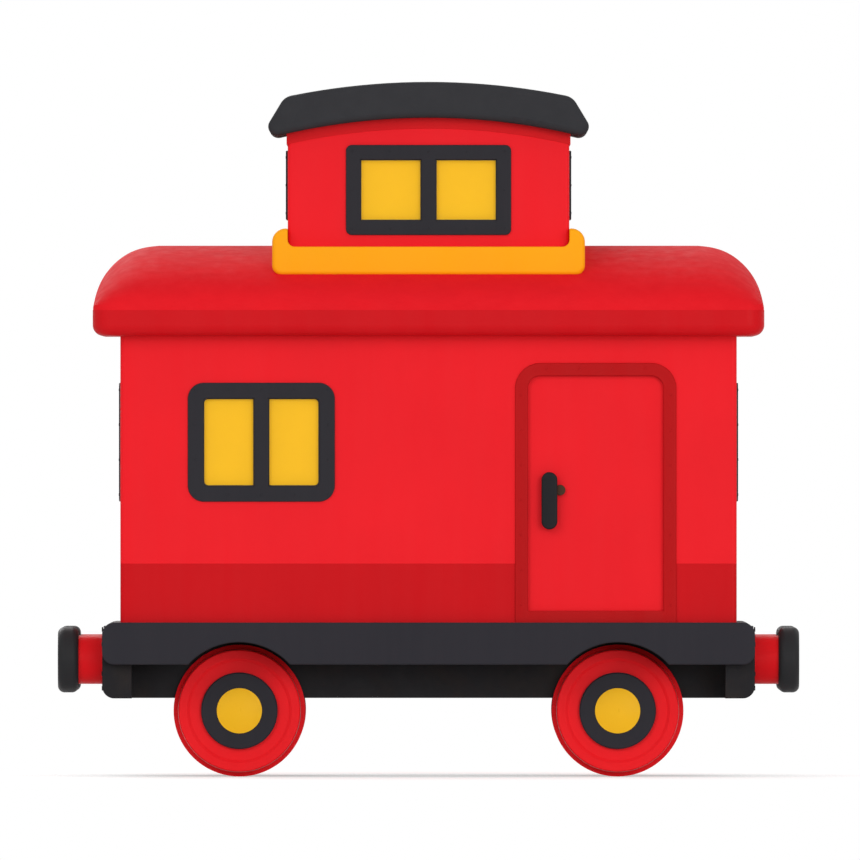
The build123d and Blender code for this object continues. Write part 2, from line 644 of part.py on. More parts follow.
threshold = DOOR_OPENING_BOTTOM - FRAME_TOP
frame_hole = DOOR_FRAME_WIDTH - DOOR_FRAME_LAP
jamb_grow = DOOR_STOP_LAP + DOOR_GAP
leaf_outer = body_side - DOOR_STOP_DEPTH - DOOR_STOP_GAP
leaf_inner = leaf_outer - DOOR_THICKNESS
hinge_x = door_x + DOOR_OPENING_WIDTH / 2 + DOOR_STOP_LAP + DOOR_GAP / 2
wall_inner = body_side - WALL
hinge_y = wall_inner - HINGE_OFFSET
arm_inner = hinge_y - HINGE_ARM_LAP
hinge_step = HINGE_SPREAD / (HINGE_COUNT - 1)
door_middle = (DOOR_OPENING_TOP + DOOR_OPENING_BOTTOM) / 2
hinge_heights = [door_middle + (n - (HINGE_COUNT - 1) / 2) * hinge_step for n in range(HINGE_COUNT)]
for side_name, side in SIDES:
    with BuildPart() as door_frame:
        with BuildSketch(side_plane(side, door_x, 0, body_side)):
            door_outline(DOOR_FRAME_WIDTH, threshold)
            door_outline(0, 0, mode=Mode.SUBTRACT)
        extrude(amount=DOOR_FRAME_PROUD)
        front = door_frame.faces().sort_by(Axis.Y)[0 if side < 0 else -1]
        fillet(front.edges().group_by(Axis.Z)[1:], DOOR_FRAME_EDGE)
        with BuildSketch(side_plane(side, door_x, 0, body_side)):
            door_outline(frame_hole, threshold)
            door_outline(0, 0, mode=Mode.SUBTRACT)
        extrude(amount=-DOOR_STOP_DEPTH)
        with BuildSketch(side_plane(side, door_x, 0, body_side - DOOR_STOP_DEPTH)):
            door_outline(frame_hole, threshold)
            door_outline(jamb_grow, jamb_grow, mode=Mode.SUBTRACT)
        extrude(amount=-(WALL - DOOR_STOP_DEPTH))
    write(door_frame, f"door_frame_{side_name}")

    with BuildPart() as door_leaf:
        with BuildSketch(side_plane(side, door_x, 0, leaf_outer)):
            door_outline(DOOR_STOP_LAP, DOOR_STOP_LAP)
        extrude(amount=-DOOR_THICKNESS)
        for height in hinge_heights:
            knuckle_z = height + HINGE_KNUCKLE_LENGTH / 2
            plate_length = HINGE_PLATE_LENGTH + HINGE_KNUCKLE_RADIUS / 2
            plate_middle = hinge_x - HINGE_KNUCKLE_RADIUS / 4 - plate_length / 2
            with Locations((plate_middle, side * (leaf_inner - HINGE_PLATE_THICKNESS / 2), knuckle_z)):
                Box(plate_length, HINGE_PLATE_THICKNESS, HINGE_KNUCKLE_LENGTH)
            arm_middle = hinge_x - HINGE_KNUCKLE_RADIUS / 2
            with Locations((arm_middle, side * (leaf_inner + hinge_y) / 2, knuckle_z)):
                Box(HINGE_KNUCKLE_RADIUS, leaf_inner - hinge_y, HINGE_KNUCKLE_LENGTH)
            with Locations((hinge_x, side * hinge_y, knuckle_z)):
                Cylinder(HINGE_KNUCKLE_RADIUS, HINGE_KNUCKLE_LENGTH)
                Cylinder(HINGE_PIN_RADIUS + HINGE_FIT, HINGE_KNUCKLE_LENGTH, mode=Mode.SUBTRACT)
    write(door_leaf, f"door_leaf_{side_name}")

    with BuildPart() as door_hinges:
        for height in hinge_heights:
            knuckle_z = height - HINGE_KNUCKLE_LENGTH / 2 - HINGE_AXIAL_GAP
            plate_middle = hinge_x + (HINGE_PLATE_START + HINGE_PLATE_LENGTH) / 2
            with Locations((plate_middle, side * (wall_inner - HINGE_PLATE_THICKNESS / 2), knuckle_z)):
                Box(HINGE_PLATE_LENGTH - HINGE_PLATE_START, HINGE_PLATE_THICKNESS, HINGE_KNUCKLE_LENGTH)
            arm_middle = hinge_x + HINGE_KNUCKLE_RADIUS
            with Locations((arm_middle, side * (wall_inner + arm_inner) / 2, knuckle_z)):
                Box(2 * HINGE_KNUCKLE_RADIUS, wall_inner - arm_inner, HINGE_KNUCKLE_LENGTH)
            with Locations((hinge_x, side * hinge_y, knuckle_z)):
                Cylinder(HINGE_KNUCKLE_RADIUS, HINGE_KNUCKLE_LENGTH)
            with Locations((hinge_x, side * hinge_y, knuckle_z + HINGE_KNUCKLE_LENGTH)):
                Cylinder(HINGE_PIN_RADIUS, HINGE_KNUCKLE_LENGTH)
    write(door_hinges, f"door_hinges_{side_name}")

    with BuildPart() as door_handle:
        grip_back = leaf_outer + HANDLE_STANDOFF
        with BuildSketch(side_plane(side, 0, 0, grip_back)):
            with Locations((-side * handle_x, HANDLE_CENTRE)):
                SlotOverall(HANDLE_HEIGHT, HANDLE_WIDTH, rotation=90)
        extrude(amount=HANDLE_THICKNESS)
        fillet(door_handle.faces().sort_by(Axis.Y)[0 if side < 0 else -1].edges(), HANDLE_ROUND)
        with BuildSketch(side_plane(side, 0, 0, leaf_outer)):
            with Locations((-side * handle_x, HANDLE_CENTRE)):
                with GridLocations(0, HANDLE_POST_SPREAD, 1, 2):
                    Circle(HANDLE_POST_RADIUS)
        extrude(amount=HANDLE_STANDOFF)
    write(door_handle, f"door_handle_{side_name}")

    with BuildPart() as door_latch:
        with BuildSketch(side_plane(side, 0, 0, leaf_outer)):
            with Locations((-side * latch_x, LATCH_CENTRE)):
                Circle(LATCH_RADIUS)
        extrude(amount=LATCH_THICKNESS)
        fillet(door_latch.faces().sort_by(Axis.Y)[0 if side < 0 else -1].edges(), LATCH_ROUND)
    write(door_latch, f"door_latch_{side_name}")

# Walls: upper panels as thick as the whole wall, and the darker lower panels round the base
for side_name, side in SIDES:
    with BuildPart() as side_wall:
        with BuildSketch(side_plane(side, 0, 0, body_side)):
            with Locations((0, (BAND_TOP + roof_spring) / 2)):
                Rectangle(BODY_LENGTH, roof_spring - BAND_TOP)
        extrude(amount=-WALL)
        corner_edges = side_wall.faces().sort_by(Axis.Y)[0 if side < 0 else -1].edges().filter_by(Axis.Z)
        fillet(corner_edges, BODY_CORNER)
        window_hole(side_plane(side, window_x, SIDE_WINDOW_CENTRE, body_side), WALL,
                    SIDE_WINDOW_WIDTH, SIDE_WINDOW_HEIGHT, SIDE_WINDOW_CORNER)
        with BuildSketch(side_plane(side, door_x, 0, body_side)):
            door_outline(frame_hole, threshold)
        extrude(amount=-WALL, mode=Mode.SUBTRACT)
    write(side_wall, f"side_wall_{side_name}")

for end_name, end in ENDS:
    with BuildPart() as end_wall:
        with BuildSketch(end_plane(end, 0, body_end)):
            with Locations((0, (BAND_TOP + roof_spring) / 2)):
                Rectangle(2 * wall_inner, roof_spring - BAND_TOP)
        extrude(amount=-WALL)
        window_hole(end_plane(end, SIDE_WINDOW_CENTRE, body_end), WALL,
                    SIDE_WINDOW_WIDTH, SIDE_WINDOW_HEIGHT, SIDE_WINDOW_CORNER)
    write(end_wall, f"end_wall_{end_name}")

with BuildPart() as lower_panels:
    with BuildSketch(Plane.XY.offset(FRAME_TOP)):
        RectangleRounded(BODY_LENGTH, BODY_WIDTH, BODY_CORNER)
        Rectangle(BODY_LENGTH - 2 * WALL, BODY_WIDTH - 2 * WALL, mode=Mode.SUBTRACT)
    extrude(amount=BAND_TOP - FRAME_TOP)
    for side in (-1, 1):
        with BuildSketch(side_plane(side, door_x, 0, body_side)):
            door_outline(frame_hole, threshold)
        extrude(amount=-WALL, mode=Mode.SUBTRACT)
write(lower_panels, "lower_panels")


# Main roof: an arched shell with rounded ends on a deep eave ring
def arch_face(x, half_width, rise, skirt):
    """Half an ellipse on top of a rectangle that hangs below the roof's springing line."""
    with BuildSketch(Plane(origin=(x, 0, roof_spring), x_dir=(0, 1, 0), z_dir=(1, 0, 0))) as arch:
        with BuildLine():
            Polyline((-half_width, 0), (-half_width, -skirt), (half_width, -skirt), (half_width, 0))
            EllipticalCenterArc((0, 0), half_width, rise, start_angle=0, arc_size=180)
        make_face()
    return arch.sketch


def roof_form(inset):
    """The roof's solid form, inset by a wall thickness: a straight arch with a rounded dome at each end."""
    half_width = roof_side - inset
    rise = ROOF_RISE - inset
    extrude(arch_face(-roof_straight, half_width, rise, ROOF_SKIRT), amount=2 * roof_straight)
    for end in (-1, 1):
        sections = []
        for angle in DOME_ANGLES:
            x = end * (roof_straight + rise * sin(radians(angle)))
            sections.append(arch_face(x, half_width, rise * cos(radians(angle)), ROOF_SKIRT))
        loft(sections)


with BuildPart() as roof_hollow:
    roof_form(ROOF_SKIN)

with BuildPart() as main_roof:
    roof_form(SEAT_GAP)
    with BuildSketch(Plane.XY.offset(roof_spring)):
        RectangleRounded(2 * roof_end, 2 * roof_side, ROOF_PLAN_CORNER)
    extrude(amount=2 * ROOF_RISE, mode=Mode.INTERSECT)
    add(roof_hollow.part, mode=Mode.SUBTRACT)
    with BuildSketch(Plane.XY.offset(roof_spring)):
        Rectangle(2 * (cupola_end + SEAT_GAP), 2 * (cupola_side + SEAT_GAP))
    extrude(amount=2 * ROOF_RISE, mode=Mode.SUBTRACT)
write(main_roof, "main_roof")

with BuildPart() as eave_ring:
    with BuildSketch(Plane.XY.offset(EAVES)):
        RectangleRounded(2 * roof_end, 2 * roof_side, ROOF_PLAN_CORNER)
    extrude(amount=FASCIA_HEIGHT)
    fillet(eave_ring.edges().group_by(Axis.Z)[0], FASCIA_ROUND)
    with BuildSketch(Plane.XY.offset(EAVES)):
        Rectangle(BODY_LENGTH, BODY_WIDTH)
    extrude(amount=FASCIA_HEIGHT, mode=Mode.SUBTRACT)
    with BuildSketch(Plane.XY.offset(EAVES + SOFFIT_THICKNESS)):
        RectangleRounded(2 * (roof_end - FASCIA_THICKNESS), 2 * (roof_side - FASCIA_THICKNESS),
                         ROOF_PLAN_CORNER - FASCIA_THICKNESS)
    extrude(amount=FASCIA_HEIGHT, mode=Mode.SUBTRACT)
write(eave_ring, "eave_ring")

with BuildPart() as ceiling:
    with BuildSketch(Plane.XY.offset(roof_spring)):
        RectangleRounded(BODY_LENGTH, BODY_WIDTH, BODY_CORNER)
        Rectangle(2 * (cupola_end - CUPOLA_WALL), 2 * (cupola_side - CUPOLA_WALL), mode=Mode.SUBTRACT)
    extrude(amount=CEILING_THICKNESS)
write(ceiling, "ceiling")

# Cupola: walls that rise from the ceiling through the main roof, with a collar and an arched roof
underside_radius = (cupola_end**2 + CUPOLA_ARCH_RISE**2) / (2 * CUPOLA_ARCH_RISE)
underside_crown = CUPOLA_EAVES + CUPOLA_ARCH_RISE
ceiling_top = roof_spring + CEILING_THICKNESS


def under_arch(drop, reach):
    """Outline in the XZ plane of everything below the cupola roof's underside."""
    edge = underside_crown - underside_radius + sqrt(underside_radius**2 - reach**2) - drop
    with BuildLine() as outline:
        Polyline((-reach, edge), (-reach, ceiling_top), (reach, ceiling_top), (reach, edge))
        ThreePointArc((-reach, edge), (0, underside_crown - drop), (reach, edge))
    make_face(outline.edges())


with BuildPart() as cupola_side_walls:
    for side in (-1, 1):
        with BuildSketch(Plane.XZ.offset(-side * cupola_side)):
            under_arch(0, cupola_end)
        extrude(amount=side * CUPOLA_WALL)
        outer_face = cupola_side_walls.faces().sort_by(Axis.Y)[0 if side < 0 else -1]
        fillet(outer_face.edges().filter_by(Axis.Z), CUPOLA_CORNER)
        window_hole(side_plane(side, 0, CUPOLA_WINDOW_CENTRE, cupola_side), CUPOLA_WALL,
                    CUPOLA_WINDOW_WIDTH, CUPOLA_WINDOW_HEIGHT, CUPOLA_WINDOW_CORNER)
write(cupola_side_walls, "cupola_side_walls")

with BuildPart() as cupola_end_walls:
    for end in (-1, 1):
        with BuildSketch(end_plane(end, 0, cupola_end)):
            with Locations((0, (ceiling_top + underside_crown) / 2)):
                Rectangle(2 * (cupola_side - CUPOLA_WALL), underside_crown - ceiling_top)
        extrude(amount=-CUPOLA_WALL)
    with BuildSketch(Plane.XZ.offset(-cupola_side)):
        under_arch(0, cupola_end)
    extrude(amount=2 * cupola_side, mode=Mode.INTERSECT)
    for end in (-1, 1):
        window_hole(end_plane(end, CUPOLA_END_WINDOW_CENTRE, cupola_end), CUPOLA_WALL,
                    CUPOLA_WINDOW_WIDTH, CUPOLA_END_WINDOW_HEIGHT, CUPOLA_WINDOW_CORNER)
write(cupola_end_walls, "cupola_end_walls")

cupola_windows = []
for sign in (-1, 1):
    cupola_windows.append((side_plane(sign, 0, CUPOLA_WINDOW_CENTRE, cupola_side), CUPOLA_WINDOW_HEIGHT))
    cupola_windows.append((end_plane(sign, CUPOLA_END_WINDOW_CENTRE, cupola_end), CUPOLA_END_WINDOW_HEIGHT))
with BuildPart() as cupola_window_frames:
    for plane, height in cupola_windows:
        window_frame(plane, CUPOLA_WALL, CUPOLA_WINDOW_WIDTH, height, CUPOLA_WINDOW_CORNER,
                     CUPOLA_WINDOW_BAR, CUPOLA_WINDOW_MULLION, CUPOLA_PANE_CORNER)
write(cupola_window_frames, "cupola_window_frames")

with BuildPart() as cupola_window_panes:
    for plane, height in cupola_windows:
        window_panes(plane, CUPOLA_WINDOW_WIDTH, height, CUPOLA_WINDOW_BAR, CUPOLA_WINDOW_MULLION,
                     CUPOLA_PANE_CORNER)
write(cupola_window_panes, "cupola_window_panes")

with BuildPart() as cupola_collar:
    # The silhouette from the side: rounded above and below at both ends
    with BuildSketch(Plane.XZ):
        with Locations((0, (COLLAR_TOP + COLLAR_BOTTOM) / 2)):
            Rectangle(2 * collar_end, COLLAR_TOP - COLLAR_BOTTOM)
        fillet(vertices().group_by(Axis.Y)[-1], COLLAR_ROUND_TOP)
        fillet(vertices().group_by(Axis.Y)[0], COLLAR_ROUND_BOTTOM)
    extrude(amount=collar_side, both=True)
    fillet(cupola_collar.faces().filter_by(Axis.Y).edges(), COLLAR_EDGE)
    with BuildSketch(Plane.XY.offset(COLLAR_BOTTOM)):
        Rectangle(CUPOLA_LENGTH, 2 * cupola_side)
    extrude(amount=COLLAR_TOP - COLLAR_BOTTOM, mode=Mode.SUBTRACT)
    # The long sides dip between the ends, so that the wall's foot shows
    with BuildSketch(Plane.XZ.offset(-collar_side)):
        with Locations((0, CUPOLA_WALL_BOTTOM + COLLAR_TOP - COLLAR_BOTTOM)):
            RectangleRounded(CUPOLA_LENGTH, 2 * (COLLAR_TOP - COLLAR_BOTTOM), COLLAR_NOTCH_ROUND)
    extrude(amount=2 * collar_side, mode=Mode.SUBTRACT)
    dip_lines = cupola_collar.edges().filter_by(Axis.X).filter_by_position(
        Axis.Z, CUPOLA_WALL_BOTTOM - SEAT_GAP, CUPOLA_WALL_BOTTOM + SEAT_GAP).group_by(Axis.Y)
    fillet(dip_lines[0] + dip_lines[-1], COLLAR_DIP_EDGE)
    # The foot follows the arched roof it stands on
    roof_arch = arch_face(-collar_end, roof_side, ROOF_RISE, ROOF_SKIRT)
    extrude(roof_arch, amount=2 * collar_end, mode=Mode.SUBTRACT)
write(cupola_collar, "cupola_collar")

with BuildPart() as cupola_frieze:
    with BuildSketch(Plane.XZ.offset(-cupola_side - FRIEZE_THICKNESS)):
        under_arch(SEAT_GAP, cupola_end + FRIEZE_THICKNESS)
        with BuildSketch(mode=Mode.SUBTRACT):
            under_arch(FRIEZE_HEIGHT, cupola_end + 2 * FRIEZE_THICKNESS)
    extrude(amount=2 * (cupola_side + FRIEZE_THICKNESS))
    with BuildSketch(Plane.XY.offset(ceiling_top)):
        Rectangle(CUPOLA_LENGTH, 2 * cupola_side)
    extrude(amount=2 * (underside_crown - ceiling_top), mode=Mode.SUBTRACT)
write(cupola_frieze, "cupola_frieze")

# The roof's side profile is a thick arch whose ends slope outwards and finish in a rounded nose
roof_top_crown = underside_crown + CUPOLA_ROOF_THICKNESS
shoulder_x = cupola_end + CUPOLA_ROOF_SHOULDER
shoulder_z = roof_top_crown - CUPOLA_ROOF_TOP_RADIUS + sqrt(CUPOLA_ROOF_TOP_RADIUS**2 - shoulder_x**2)
nose_x = cupola_end + CUPOLA_ROOF_NOSE
nose_z = underside_crown - underside_radius + sqrt(underside_radius**2 - nose_x**2)
with BuildPart() as cupola_roof:
    with BuildSketch(Plane.XZ) as roof_profile:
        with BuildLine():
            ThreePointArc((-shoulder_x, shoulder_z), (0, roof_top_crown), (shoulder_x, shoulder_z))
            Line((shoulder_x, shoulder_z), (nose_x, nose_z))
            ThreePointArc((nose_x, nose_z), (0, underside_crown), (-nose_x, nose_z))
            Line((-nose_x, nose_z), (-shoulder_x, shoulder_z))
        make_face()
        fillet(roof_profile.vertices().group_by(Axis.Y)[-1], CUPOLA_ROOF_SHOULDER_ROUND)
        fillet(roof_profile.vertices().group_by(Axis.Y)[0], CUPOLA_ROOF_NOSE_ROUND)
    extrude(amount=cupola_side + CUPOLA_ROOF_OVERHANG, both=True)
    gable_faces = cupola_roof.faces().filter_by(Axis.Y)
    fillet(gable_faces.edges(), CUPOLA_ROOF_RIM_ROUND)
write(cupola_roof, "cupola_roof")
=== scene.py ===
import json
import math

import bmesh
import bpy
from mathutils import Matrix, Vector


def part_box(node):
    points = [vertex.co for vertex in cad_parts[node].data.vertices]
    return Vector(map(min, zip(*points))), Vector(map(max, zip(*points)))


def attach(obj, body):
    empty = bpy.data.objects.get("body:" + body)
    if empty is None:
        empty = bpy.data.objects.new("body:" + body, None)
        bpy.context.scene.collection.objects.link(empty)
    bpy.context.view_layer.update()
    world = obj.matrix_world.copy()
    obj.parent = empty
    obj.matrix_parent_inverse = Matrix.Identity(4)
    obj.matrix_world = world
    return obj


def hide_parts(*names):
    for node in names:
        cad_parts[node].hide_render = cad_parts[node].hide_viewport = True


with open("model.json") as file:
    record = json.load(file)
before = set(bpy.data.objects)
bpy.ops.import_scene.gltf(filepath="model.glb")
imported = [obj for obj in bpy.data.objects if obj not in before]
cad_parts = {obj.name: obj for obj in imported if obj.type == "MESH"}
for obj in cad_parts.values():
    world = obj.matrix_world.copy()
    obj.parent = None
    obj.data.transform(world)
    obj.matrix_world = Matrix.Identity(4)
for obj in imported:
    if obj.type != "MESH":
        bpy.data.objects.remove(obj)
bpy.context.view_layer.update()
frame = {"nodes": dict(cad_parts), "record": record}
bpy.ops.object.select_all(action="DESELECT")

# All lengths are in metres

# The picture: 860 pixels square, each of which covers 6.8 mm of the car's side
PICTURE_PIXELS = 860
METRES_PER_PIXEL = 0.0068
PICTURE_CENTRE_X = 0.010
PICTURE_CENTRE_Z = 2.361
CAMERA_DISTANCE = 270.0
CAMERA_REACH = 1000.0
SENSOR_WIDTH = 36.0

# Windows: the frame's width and height, its bars, its middle bar, the rounding of the panes' outer corners,
# and how many screws stand along its width and its height
BODY_WINDOW = {"width": 1.000, "height": 0.809, "bar": 0.105, "mullion": 0.096, "corner": 0.034,
               "screws_wide": 5, "screws_high": 4}
CUPOLA_WINDOW = {"width": 1.124, "height": 0.613, "bar": 0.098, "mullion": 0.097, "corner": 0.003,
                 "screws_wide": 5, "screws_high": 3}

# The windows' middles, and the lower height of those in the cupola's ends
BODY_WINDOW_X = -1.137
BODY_WINDOW_Z = 2.278
CUPOLA_WINDOW_Z = 3.994
CUPOLA_END_WINDOW_Z = 4.030
CUPOLA_END_HEIGHT = 0.470

# How far the glass lies behind the wall's face, and how far the window frame stands out from it
PANE_DEPTH = 0.024
FRAME_PROUD = 0.015

# Rubber beads round the panes
BEAD_WIDTH = 0.007
BEAD_DEPTH = 0.008
BEAD_BEVEL = 0.002

# Inner faces of the side walls and of the doors, from the car's middle, and the cupola walls' thickness
WALL_INNER = 1.140
LEAF_INNER = 1.150
CUPOLA_WALL = 0.060

# Door frames' bars, the hinges' pins, plates and height, and the draw plates' thickness
DOOR_FRAME_BAR = 0.087
HINGE_X = 1.615
HINGE_PLATE = 0.006
HINGE_HEIGHT = 0.120
HINGES_PER_DOOR = 3
DRAW_PLATE = 0.022

# Floorboards
FLOORBOARDS = 30
FLOOR_GAP = 0.003
FLOOR_BEVEL = 0.003

# Lining boards, and the bare margins that they leave round the doors and on the doors' inner faces
LINING = 0.008
BOARD_PITCH = 0.110
BOARD_GAP = 0.003
BOARD_BEVEL = 0.0055
DOOR_CASING = 0.030
DOOR_STILE = 0.030
DOOR_HEAD = 0.055
HINGE_REACH = 0.115

# Edges up to this many degrees are shaded round; the small angle keeps the faces of boards flat
SMOOTH = 35
BOARD_SMOOTH = 10

# Radius and height of each screw's and bolt's head
FRAME_SCREW = (0.009, 0.004)
HINGE_SCREW = (0.007, 0.002)
END_BOLT = (0.016, 0.010)
HORN_BOLT = (0.010, 0.008)

# Screws in the frames: how far in across the bar, as a share of it
SCREW_ACROSS_BAR = 0.45

# Screws in a door frame: up each side, above its foot and below the top row, and in the top row,
# whose margin at both ends is a share of its length
DOOR_SIDE_SCREWS = 7
DOOR_SIDE_FOOT = 0.12
DOOR_SIDE_HEAD = 0.18
DOOR_TOP_SCREWS = 4
DOOR_TOP_MARGIN = 0.17

# Screws in a hinge: back from the end of the wall's leaf, and back from the pin on the door's leaf
WALL_LEAF_SCREWS = (0.014, 0.052)
DOOR_LEAF_SCREWS = (0.085, 0.047)

# How far each screw's slot is turned on from the one before, in radians
WINDOW_SLOT_TURN = 1.3
DOOR_SLOT_TURN = 0.9

# Bolts: in from the draw plate's edge, out from the buffer's stem, and in from the horn guide's edge and ends
DRAW_BOLT_INSET = 0.040
BUFFER_BOLT_CLEAR = 0.035
BUFFER_BOLTS = 6
HORN_BOLT_INSET = 0.020
HORN_BOLT_END = 0.060
HORN_BOLTS = 4

# The bright tread: beyond this radius, where the face leans less than this towards the wheel's side
TREAD_INNER = 0.405
TREAD_SLOPE = 0.35

# Each room's half length and half width, a little beyond its inner faces: what lies within is cream
CABIN = (2.02, 1.152)
LOOKOUT = (0.90, 1.03)

# What stands this much further in than a door's inner face is its hinge
HINGE_CLEAR = 0.0005

# The studio: the floor's tone, its lift towards white, from where to where it fades to white,
# and the strength of the light from all round
FLOOR_SIZE = 600.0
FLOOR_TONE = (0.86, 0.86, 0.86, 1.0)
FLOOR_LIFT = 0.40
FADE_START = 2.4
FADE_END = 4.8
FILL_LIGHT = 0.66
WHITE = (1.0, 1.0, 1.0, 1.0)

# Lamps: strength, width in degrees, and the way from the car towards each
LAMPS = {
    "key": (0.52, 25.0, (-0.50, -1.0, 0.50)),
    "low": (1.08, 30.0, (0.40, -1.0, 0.12)),
    "back": (0.80, 30.0, (-0.30, 1.0, 0.60)),
}

body_low, body_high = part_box("lower_panels")
cupola_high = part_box("cupola_side_walls")[1]


def linear(value):
    """One 8-bit colour channel as linear light."""
    share = value / 255
    if share <= 0.04045:
        return share / 12.92
    return ((share + 0.055) / 1.055) ** 2.4


def colour(red, green, blue):
    """An 8-bit colour as the shader takes it."""
    return (linear(red), linear(green), linear(blue), 1.0)


def shade(base, factor):
    """A darker tone of a colour."""
    return (base[0] * factor, base[1] * factor, base[2] * factor, 1.0)


# Finishes

BODY_RED = colour(234, 27, 37)
AMBER = colour(251, 192, 35)
CREAM = colour(226, 214, 190)
HINGE_BLACK = colour(60, 58, 60)
TREAD_STEEL = colour(150, 148, 146)
RUST = colour(112, 84, 66)
GREASE = colour(104, 92, 80)
DUST = (0.55, 0.50, 0.46, 1.0)

# Sockets of the Mix node in its colour form
MIX_SHARE = 0
MIX_FIRST = 6
MIX_SECOND = 7
MIX_RESULT = 2


def new_finish(name):
    """A material with its shader and the place on the object, ready for nodes."""
    material = bpy.data.materials.new(name)
    material.use_nodes = True
    tree = material.node_tree
    shader = tree.nodes["Principled BSDF"]
    place = tree.nodes.new("ShaderNodeTexCoord").outputs["Object"]
    return material, tree, shader, place


def feed(tree, socket, value):
    """Links a socket to another one, or stores a number or colour in it."""
    if isinstance(value, bpy.types.NodeSocket):
        tree.links.new(value, socket)
    else:
        socket.default_value = value


def node(tree, kind, **inputs):
    """A node with its inputs fed by their names."""
    made = tree.nodes.new(kind)
    for name, value in inputs.items():
        feed(tree, made.inputs[name.replace("_", " ")], value)
    return made


def stretched(tree, place, scale):
    """A place whose pattern is drawn out along the axes with a small scale."""
    mapping = node(tree, "ShaderNodeMapping", Vector=place, Scale=scale)
    return mapping.outputs["Vector"]


def noise(tree, place, scale, detail, roughness=0.55):
    """A cloudy value between none and one: the larger the scale, the finer the cloud."""
    made = node(tree, "ShaderNodeTexNoise", Vector=place, Scale=scale, Detail=detail, Roughness=roughness)
    return made.outputs["Fac"]


def spread(tree, value, low, high, start=0.3, end=0.7):
    """A value between start and end laid out between two levels."""
    made = node(tree, "ShaderNodeMapRange", Value=value,
                From_Min=start, From_Max=end, To_Min=low, To_Max=high)
    return made.outputs["Result"]


def mixed(tree, share, first, second):
    """Two colours mixed, from all of the first to all of the second."""
    made = tree.nodes.new("ShaderNodeMix")
    made.data_type = "RGBA"
    made.clamp_factor = True
    feed(tree, made.inputs[MIX_SHARE], share)
    feed(tree, made.inputs[MIX_FIRST], first)
    feed(tree, made.inputs[MIX_SECOND], second)
    return made.outputs[MIX_RESULT]


def maths(tree, operation, first, second=0.0):
    """One step of arithmetic, on two values or on the first alone."""
    made = tree.nodes.new("ShaderNodeMath")
    made.operation = operation
    feed(tree, made.inputs[0], first)
    feed(tree, made.inputs[1], second)
    return made.outputs["Value"]


def along(tree, vector, axis):
    """How far a place or a normal reaches along one axis."""
    return node(tree, "ShaderNodeSeparateXYZ", Vector=vector).outputs[axis]


def apart(tree, vector, axis):
    """The same without its sign, such as a distance from the car's middle."""
    return maths(tree, "ABSOLUTE", along(tree, vector, axis))


def bump(tree, shader, height, depth):
    """Makes a surface look as uneven as a value says, to a depth in metres."""
    made = node(tree, "ShaderNodeBump", Height=height, Distance=depth, Strength=1.0)
    tree.links.new(made.outputs["Normal"], shader.inputs["Normal"])


def painted_over(material, where, coat):
    """Another colour over a finish, where a mask is one."""
    tree = material.node_tree
    surface = tree.nodes["Principled BSDF"].inputs["Base Color"]
    own = surface.links[0].from_socket
    tree.links.new(mixed(tree, where, own, coat), surface)


def paint(name, base, smoothest=0.36, roughest=0.50, inside=None):
    """Coach paint on sheet metal: a slow drift in tone, rain streaks in its gloss and fine orange peel.

    Where inside gives a room's half length and half width, the faces within them are cream.
    """
    material, tree, shader, place = new_finish(name)
    tone = noise(tree, place, scale=1.1, detail=4.0)
    streaks = noise(tree, stretched(tree, place, (9.0, 9.0, 0.7)), scale=1.0, detail=4.0, roughness=0.6)
    grain = noise(tree, place, scale=190.0, detail=2.0)
    drifted = mixed(tree, spread(tree, tone, low=0.0, high=1.0), shade(base, 0.94), base)
    faded = mixed(tree, spread(tree, streaks, low=0.0, high=0.006), drifted, DUST)
    tree.links.new(faded, shader.inputs["Base Color"])
    if inside:
        within_length = maths(tree, "LESS_THAN", apart(tree, place, "X"), inside[0])
        within_width = maths(tree, "LESS_THAN", apart(tree, place, "Y"), inside[1])
        painted_over(material, maths(tree, "MULTIPLY", within_length, within_width), CREAM)
    tree.links.new(spread(tree, streaks, smoothest, roughest), shader.inputs["Roughness"])
    shader.inputs["Specular IOR Level"].default_value = 0.07
    bump(tree, shader, grain, depth=0.0001)
    return material


def bare_steel(name, base):
    """Turned steel with faint tool rings and a breath of rust."""
    material, tree, shader, place = new_finish(name)
    cloud = noise(tree, place, scale=7.0, detail=5.0)
    rings = noise(tree, stretched(tree, place, (1.0, 60.0, 1.0)), scale=6.0, detail=2.0)
    stained = mixed(tree, spread(tree, cloud, low=0.0, high=0.35, start=0.5, end=0.8), base, RUST)
    tree.links.new(stained, shader.inputs["Base Color"])
    tree.links.new(spread(tree, rings, low=0.28, high=0.45), shader.inputs["Roughness"])
    shader.inputs["Metallic"].default_value = 0.85
    bump(tree, shader, rings, depth=0.0001)
    return material


def oiled_steel(name, base):
    """Black-painted running gear, greasy in places."""
    material, tree, shader, place = new_finish(name)
    cloud = noise(tree, place, scale=4.0, detail=5.0)
    grit = noise(tree, place, scale=120.0, detail=3.0)
    greasy = mixed(tree, spread(tree, cloud, low=0.0, high=0.09, start=0.45, end=0.75), base, GREASE)
    tree.links.new(greasy, shader.inputs["Base Color"])
    tree.links.new(spread(tree, cloud, low=0.34, high=0.62), shader.inputs["Roughness"])
    shader.inputs["Specular IOR Level"].default_value = 0.12
    bump(tree, shader, grit, depth=0.00025)
    return material


